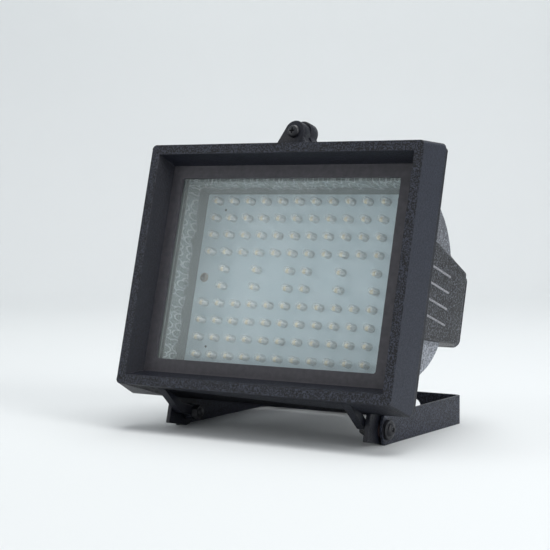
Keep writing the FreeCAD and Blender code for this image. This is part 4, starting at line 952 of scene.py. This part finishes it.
def rib_caps():
    """Round-ended bars, the ribs that show, along both sides of the rear box; their pale coat is a painted
    highlight.
    """
    work = bmesh.new()
    for side in (-1, 1):
        for index in range(RIBS):
            up = RIB_MIDDLE_UP + (index - (RIBS - 1) / 2) * RIB_PITCH
            front = Vector((side * cheek_half(RIB_START), RIB_START, up + RIB_FALL / 2))
            back = Vector((side * cheek_half(RIB_END), RIB_END, up - RIB_FALL / 2))
            along = (back - front).normalized()
            sideways = Vector((side, 0, 0))
            out = (sideways - along * sideways.dot(along)).normalized()
            rows = []
            for place, width in rib_widths(front, back):
                row = []
                for step in range(RIB_STEPS + 1):
                    angle = math.pi * step / RIB_STEPS
                    up_step = Vector((0, 0, 1)) * width * math.cos(angle)
                    point = place + up_step + out * width * RIB_CROWN * math.sin(angle)
                    row.append(work.verts.new(LAMP @ point))
                rows.append(row)
            for first, second in zip(rows, rows[1:]):
                for step in range(RIB_STEPS):
                    work.faces.new((first[step], first[step + 1], second[step + 1], second[step]))
                work.faces.new((first[RIB_STEPS], first[0], second[0], second[RIB_STEPS]))
            work.faces.new(rows[0])
            work.faces.new(rows[-1][::-1])
    bmesh.ops.remove_doubles(work, verts=work.verts, dist=SAME_POINT)
    bmesh.ops.recalc_face_normals(work, faces=work.faces)
    mesh = worked_mesh("rib_caps", work)
    smooth(mesh)
    piece = new_piece("rib_caps", mesh, RIB_HIGHLIGHT_PAINT)
    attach(piece, "housing")


def rib_widths(front, back):
    """Places along a rib and half its width there: full, but round at both ends."""
    length = (back - front).length
    along = (back - front).normalized()
    half = RIB_WIDTH / 2
    marks = []
    for step in range(RIB_END_STEPS + 1):
        angle = math.pi / 2 * step / RIB_END_STEPS
        marks.append((half * (1 - math.cos(angle)), max(half * math.sin(angle), half * RIB_TIP)))
    start = [(front + along * run, width) for run, width in marks]
    end = [(front + along * (length - run), width) for run, width in reversed(marks)]
    return start + end


def board_pinholes():
    """Two small black discs at the left of the board, painted shade for its pinholes."""
    work = bmesh.new()
    for across, up in PINHOLES:
        place = LAMP @ Matrix.Translation((across, BOARD_DEPTH - PINHOLE_RISE, up)) @ OUTWARDS
        bmesh.ops.create_circle(
            work, cap_ends=True, radius=PINHOLE_RADIUS, segments=PINHOLE_SEGMENTS, matrix=place)
    piece = new_piece("board_pinholes", worked_mesh("board_pinholes", work), RUBBER)
    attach(piece, "housing")


# Floor, light and camera
def plain_stage():
    """A pale floor that bends up into a wall behind the part."""
    floor_height = CAD_BOX[0][2]
    rows = [(-STAGE_HALF, floor_height), (WALL_START, floor_height)]
    for step in range(1, BEND_STEPS + 1):
        angle = math.pi / 2 * step / BEND_STEPS
        rise = WALL_BEND * (1 - math.cos(angle))
        rows.append((WALL_START + WALL_BEND * math.sin(angle), floor_height + rise))
    rows.append((WALL_START + WALL_BEND, floor_height + WALL_HEIGHT))
    points = []
    faces = []
    for index, (y, z) in enumerate(rows):
        points += [(-STAGE_HALF, y, z), (STAGE_HALF, y, z)]
        if index:
            low = 2 * (index - 1)
            faces.append((low, low + 1, low + 3, low + 2))
    turn = Matrix.Rotation(WALL_TURN, 3, "Z")
    mesh = bpy.data.meshes.new("floor")
    mesh.from_pydata([tuple(turn @ Vector(point)) for point in points], [], faces)
    smooth(mesh)
    card = Recipe("studio_card", linear(222, 225, 226), roughness=0.9)
    tones = ((0.2, linear(220, 223, 224)), (0.8, linear(225, 228, 228)))
    card.drive("Base Color", card.ramp(card.noise(1.5, detail=1), *tones))
    floor = new_piece("floor", mesh, card.material)


def softbox(name, place, width, height, power):
    light = bpy.data.lights.new(name, "AREA")
    light.shape = "RECTANGLE"
    light.size = width
    light.size_y = height
    light.energy = power
    box = in_scene(name, light)
    box.location = place
    box.rotation_euler = (Vector(PART_MIDDLE) - Vector(place)).to_track_quat("-Z", "Y").to_euler()


def studio_light():
    world = bpy.data.worlds.new("studio")
    bpy.context.scene.world = world
    world.use_nodes = True
    background = world.node_tree.nodes["Background"]
    background.inputs["Color"].default_value = SKY_COLOUR
    background.inputs["Strength"].default_value = SKY_STRENGTH
    for name, place, width, height, power in SOFTBOXES:
        softbox(name, place, width, height, power)


def photo_camera():
    camera = bpy.data.cameras.new("photo_camera")
    camera.sensor_width = SENSOR_WIDTH
    camera.sensor_fit = "HORIZONTAL"
    camera.lens = FOCAL_LENGTH
    holder = in_scene("photo_camera", camera)
    holder.location = CAMERA_PLACE
    look = (CAMERA_AIM - CAMERA_PLACE).to_track_quat("-Z", "Y").to_matrix().to_4x4()
    holder.rotation_euler = (look @ Matrix.Rotation(CAMERA_ROLL, 4, "Z")).to_euler()
    bpy.context.scene.camera = holder


finish_cad_nodes()
clear_lamps()
softened("front_frame", FRAME_EDGE, PAINT, "front_frame", [(RIM, on_rim), (LIT_SIDE_PAINT, on_side)])
housing_coats = [(PAINT, on_flange_or_lug), (TROUGH, on_trough_end)]
softened("housing_shell", CAST_EDGE, CAST, "housing", housing_coats)
closing_lug_plate()
box_cheeks()
softened("tilt_bracket", STRAP_EDGE, STRAP, "bracket")
all_screws()
rib_caps()
board_pinholes()
plain_stage()
studio_light()
photo_camera()
bpy.context.scene.view_settings.view_transform = "Standard"
